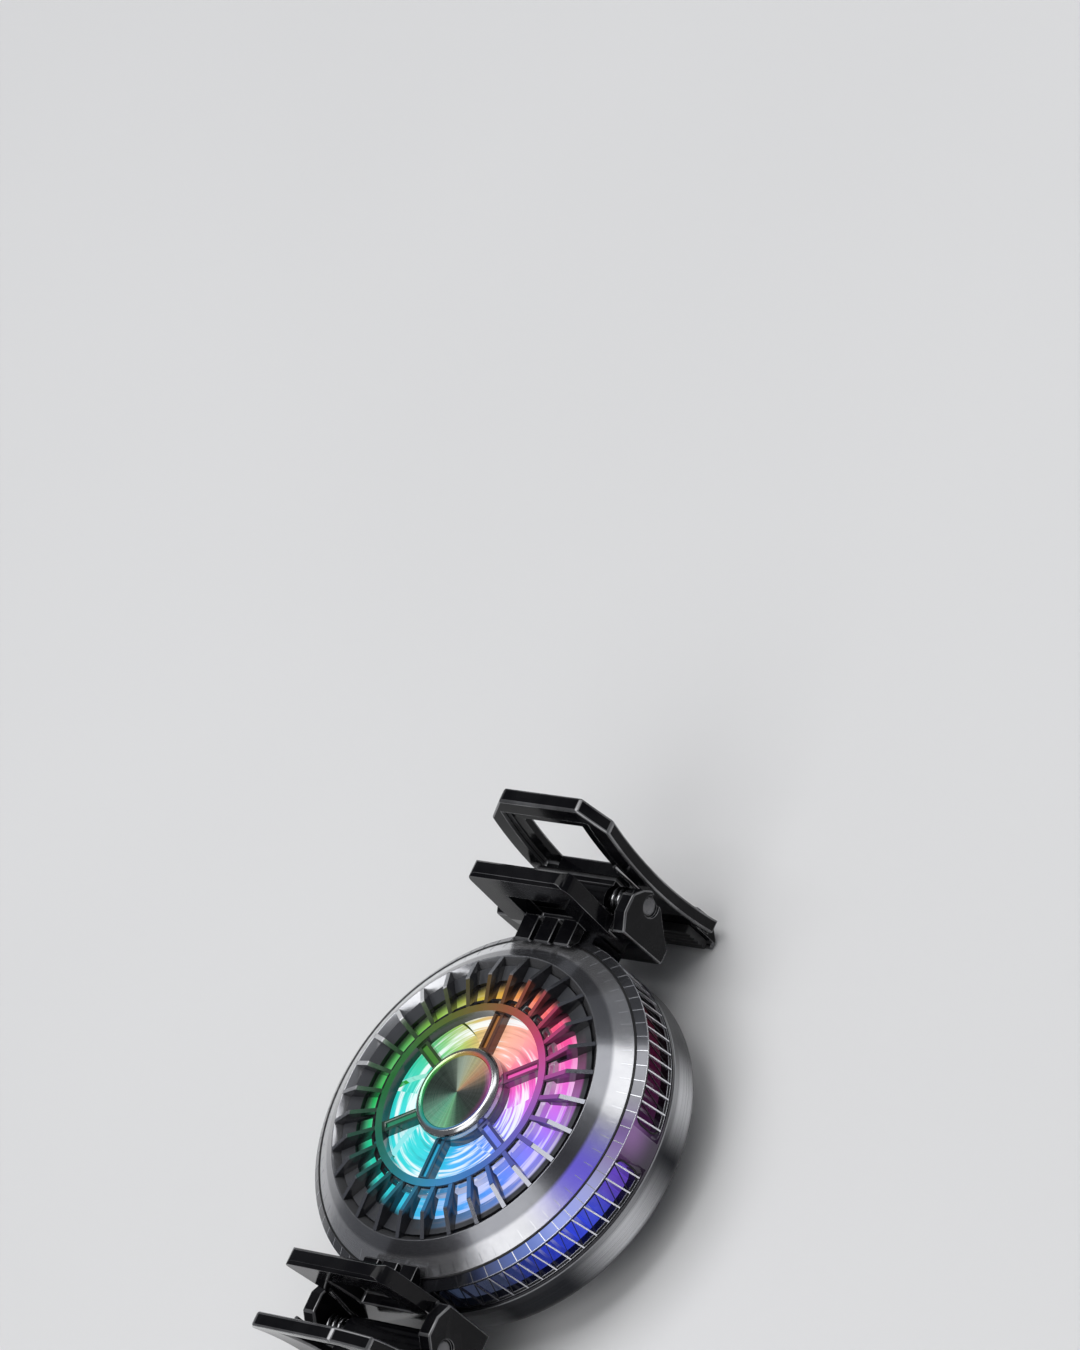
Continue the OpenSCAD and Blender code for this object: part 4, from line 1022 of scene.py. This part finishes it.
# Name, inner and outer (radius, height), width, proud, first angle, lean, how far the strips stay
# from the middle of the clips and of the panels between windows (-1 for not at all), and finish
STRIPS = (
    ("shoulder_ticks", (28.66, 14.89), (29.95, 13.94), 0.14, 0.08, HALF_STEP, 0, 7.2, -1, "tick"),
    ("bezel_ticks", (26.9, 16.08), (28.1, 15.22), 0.08, 0.05, HALF_STEP, 0, 7.2, -1, "tick"),
    ("outlet_bars", (29.68, 13.45), (29.74, 7.65), 0.24, 0.34, HALF_STEP, BAR_LEAN, 6.9, 3.2,
     "outlet_bar"),
    ("outlet_braces", (29.6, 13.5), (29.6, 7.7), 0.11, 0.16, FIN_STEP, BRACE_LEAN, 7.6, 4.4,
     "seal_rubber"))
tick_tree = make_tick_tree()
for name, inner, outer, width, proud, first, lean, from_clip, from_panel, finish in STRIPS:
    ticks = baked(name, tick_tree, {
        "Count": FIN_COUNT, "First angle": first, "Inner": Vector((inner[0], 0, inner[1])) * MM,
        "Outer": Vector((outer[0], 0, outer[1])) * MM, "Width": width * MM, "Proud": proud * MM,
        "Lean": lean, "Clip half width": from_clip * MM, "Panel half width": from_panel * MM,
        "Tick": MATERIALS[finish]})
    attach(ticks, "fan_body")


# ---- beads, rails and the hub's trim

CREASE = math.radians(50)


def fan_piece(name, work, finish, creased=True):
    """Piece on the fan's body from a bmesh, with its faces turned outwards."""
    bmesh.ops.recalc_face_normals(work, faces=work.faces)
    mesh = bpy.data.meshes.new(name)
    work.to_mesh(mesh)
    work.free()
    mesh.shade_smooth()
    if creased:
        mesh.set_sharp_from_angle(angle=CREASE)
    mesh.materials.append(MATERIALS[finish])
    made = link(name, mesh)
    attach(made, "fan_body")
    return made


def skin_between(work, here, after):
    for j in range(len(here)):
        k = (j + 1) % len(here)
        work.faces.new((here[j], after[j], after[k], here[k]))


def sweep_outline(work, outline, start, sweep, steps):
    """Carry an outline of (radius, height) round the axis, with ends where it stops short."""
    whole = sweep >= math.tau
    count = steps if whole else steps + 1
    rings = []
    for i in range(count):
        turn = start + sweep * i / steps
        rings.append([work.verts.new((r * math.cos(turn) * MM, r * math.sin(turn) * MM, z * MM))
                      for r, z in outline])
    for i in range(steps):
        skin_between(work, rings[i], rings[(i + 1) % count])
    if not whole:
        work.faces.new(rings[0])
        work.faces.new(rings[-1])


def turned(name, outlines, finish, arcs=((0, math.tau),), steps=192):
    """Piece of round outlines, all round the fan or along arcs of it."""
    work = bmesh.new()
    for outline in outlines:
        for start, sweep in arcs:
            sweep_outline(work, outline, start, sweep, steps)
    return fan_piece(name, work, finish)


def bead_outline(radius, level, thickness, sides=10):
    return [(radius + thickness / 2 * math.cos(math.tau * j / sides),
             level + thickness / 2 * math.sin(math.tau * j / sides)) for j in range(sides)]


turned("bezel_seal", [bead_outline(radius=28.45, level=14.90, thickness=0.42)],
       "seal_rubber")
turned("rear_seal", [bead_outline(radius=29.86, level=7.0, thickness=0.3)],
       "seal_rubber")

# Pale bead along the shoulder's lower edge: a painted highlight line, broken at the clips
SHOULDER_STARTS, SHOULDER_ARC = (-75.5, 104.5), math.radians(151)
turned("shoulder_highlight_line", [bead_outline(radius=29.95, level=13.89, thickness=0.11, sides=8)],
       "tick", [(math.radians(a), SHOULDER_ARC) for a in SHOULDER_STARTS], 110)

WINDOW_MIDDLES = (41.5, 138.5, 221.5, 318.5)
SILL_HALF = 34.5
sills = [(math.radians(m - SILL_HALF), math.radians(2 * SILL_HALF)) for m in WINDOW_MIDDLES]
turned("sill_rails", [bead_outline(radius=29.80, level=7.58, thickness=0.16, sides=8),
                      bead_outline(radius=29.64, level=8.02, thickness=0.14, sides=8)],
       "sill_rail", sills, 48)

WINDOW_HALF = math.radians(35.6)
WINDOW_LOW, WINDOW_HIGH, WINDOW_CORNER = 7.84, 13.28, 1.55
WINDOW_BEAD_R, WINDOW_BEAD = 29.6, 0.34
CORNER_STEPS, SIDE_STEPS = 6, 40


def window_path(middle):
    """Closed path of (angle, height) round a window with rounded corners in the fan's wall."""
    bend = WINDOW_CORNER / WINDOW_BEAD_R
    path = []
    for turn, side, level in ((0, 1, WINDOW_HIGH), (1, -1, WINDOW_HIGH),
                              (2, -1, WINDOW_LOW), (3, 1, WINDOW_LOW)):
        inward = 1 if level == WINDOW_HIGH else -1
        corner = middle + side * (WINDOW_HALF - bend)
        for i in range(CORNER_STEPS + 1):
            at = math.radians(90 * turn + 90 / CORNER_STEPS * i)
            path.append((corner + bend * math.cos(at),
                         level - inward * WINDOW_CORNER + WINDOW_CORNER * math.sin(at)))
        if turn in (0, 2):
            reach = -side * 2 * (WINDOW_HALF - bend)
            path += [(corner + reach * i / SIDE_STEPS, level) for i in range(1, SIDE_STEPS)]
    return path


def bead_along(work, path, sides=6):
    """Round bead that follows a closed path of (angle, height) on the fan's wall."""
    places = [Vector((WINDOW_BEAD_R * math.cos(a), WINDOW_BEAD_R * math.sin(a), z))
              for a, z in path]
    rings = []
    for i, (angle, _) in enumerate(path):
        outward = Vector((math.cos(angle), math.sin(angle), 0))
        along = places[(i + 1) % len(path)] - places[i - 1]
        across = along.cross(outward).normalized()
        ring = []
        for j in range(sides):
            turn = math.tau * j / sides
            spread = WINDOW_BEAD / 2 * (math.cos(turn) * outward + math.sin(turn) * across)
            ring.append(work.verts.new((places[i] + spread) * MM))
        rings.append(ring)
    for here, after in zip(rings, rings[1:] + rings[:1]):
        skin_between(work, here, after)


def window_beads():
    """Black bead round the opening of each side window."""
    work = bmesh.new()
    for middle in WINDOW_MIDDLES:
        bead_along(work, window_path(math.radians(middle)))
    fan_piece("window_beads", work, "seal_rubber", creased=False)


window_beads()

HUB_TRIM = [
    (6.15, 18.9), (7.6, 18.9), (7.56, 19.3), (7.5, 19.62), (7.42, 19.84), (7.28, 20.04),
    (7.12, 20.2), (6.96, 20.33), (6.8, 20.41), (6.62, 20.45), (6.46, 20.44), (6.32, 20.39),
    (6.22, 20.3), (6.15, 20.15)]
trim = turned("hub_trim", [HUB_TRIM], "polished_trim")
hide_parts("hub_trim_ring")


# ---- floor, camera and light

FLOOR_HALF, FLOOR_LEVEL = 6.0, -5.7 * MM
WORLD_TINT, WORLD_STRENGTH = (0.9, 0.93, 1, 1), 0.18


def make_floor():
    mesh = bpy.data.meshes.new("floor")
    corners = [(x * FLOOR_HALF, y * FLOOR_HALF, FLOOR_LEVEL)
               for x, y in ((-1, -1), (1, -1), (1, 1), (-1, 1))]
    mesh.from_pydata(corners, [], [(0, 1, 2, 3)])
    floor = link("floor", mesh)
    mat = Finish("pale_floor", Roughness=0.85)
    mat.paint(mat.mottled((0.71, 0.71, 0.713), (0.74, 0.74, 0.743), 3))
    mesh.materials.append(mat.material)


def make_world():
    world = bpy.data.worlds.new("studio")
    scene.world = world
    world.use_nodes = True
    background = world.node_tree.nodes["Background"]
    background.inputs["Color"].default_value = WORLD_TINT
    background.inputs["Strength"].default_value = WORLD_STRENGTH


place_camera()
make_floor()
make_world()
soft_box("overhead_box", (-0.18, 0.08, 1.15), (0, 0, 0), width=0.9, height=0.9, power=8.0)
soft_box("right_box", (0.42, 0.74, 0.95), (0, 0, 0.01), width=0.55, height=0.9, power=3.4)
soft_box("front_box", (0.30, -0.78, 0.90), (0, 0, 0.01), width=0.9, height=0.8, power=4.6)
scene.view_settings.view_transform = "Standard"
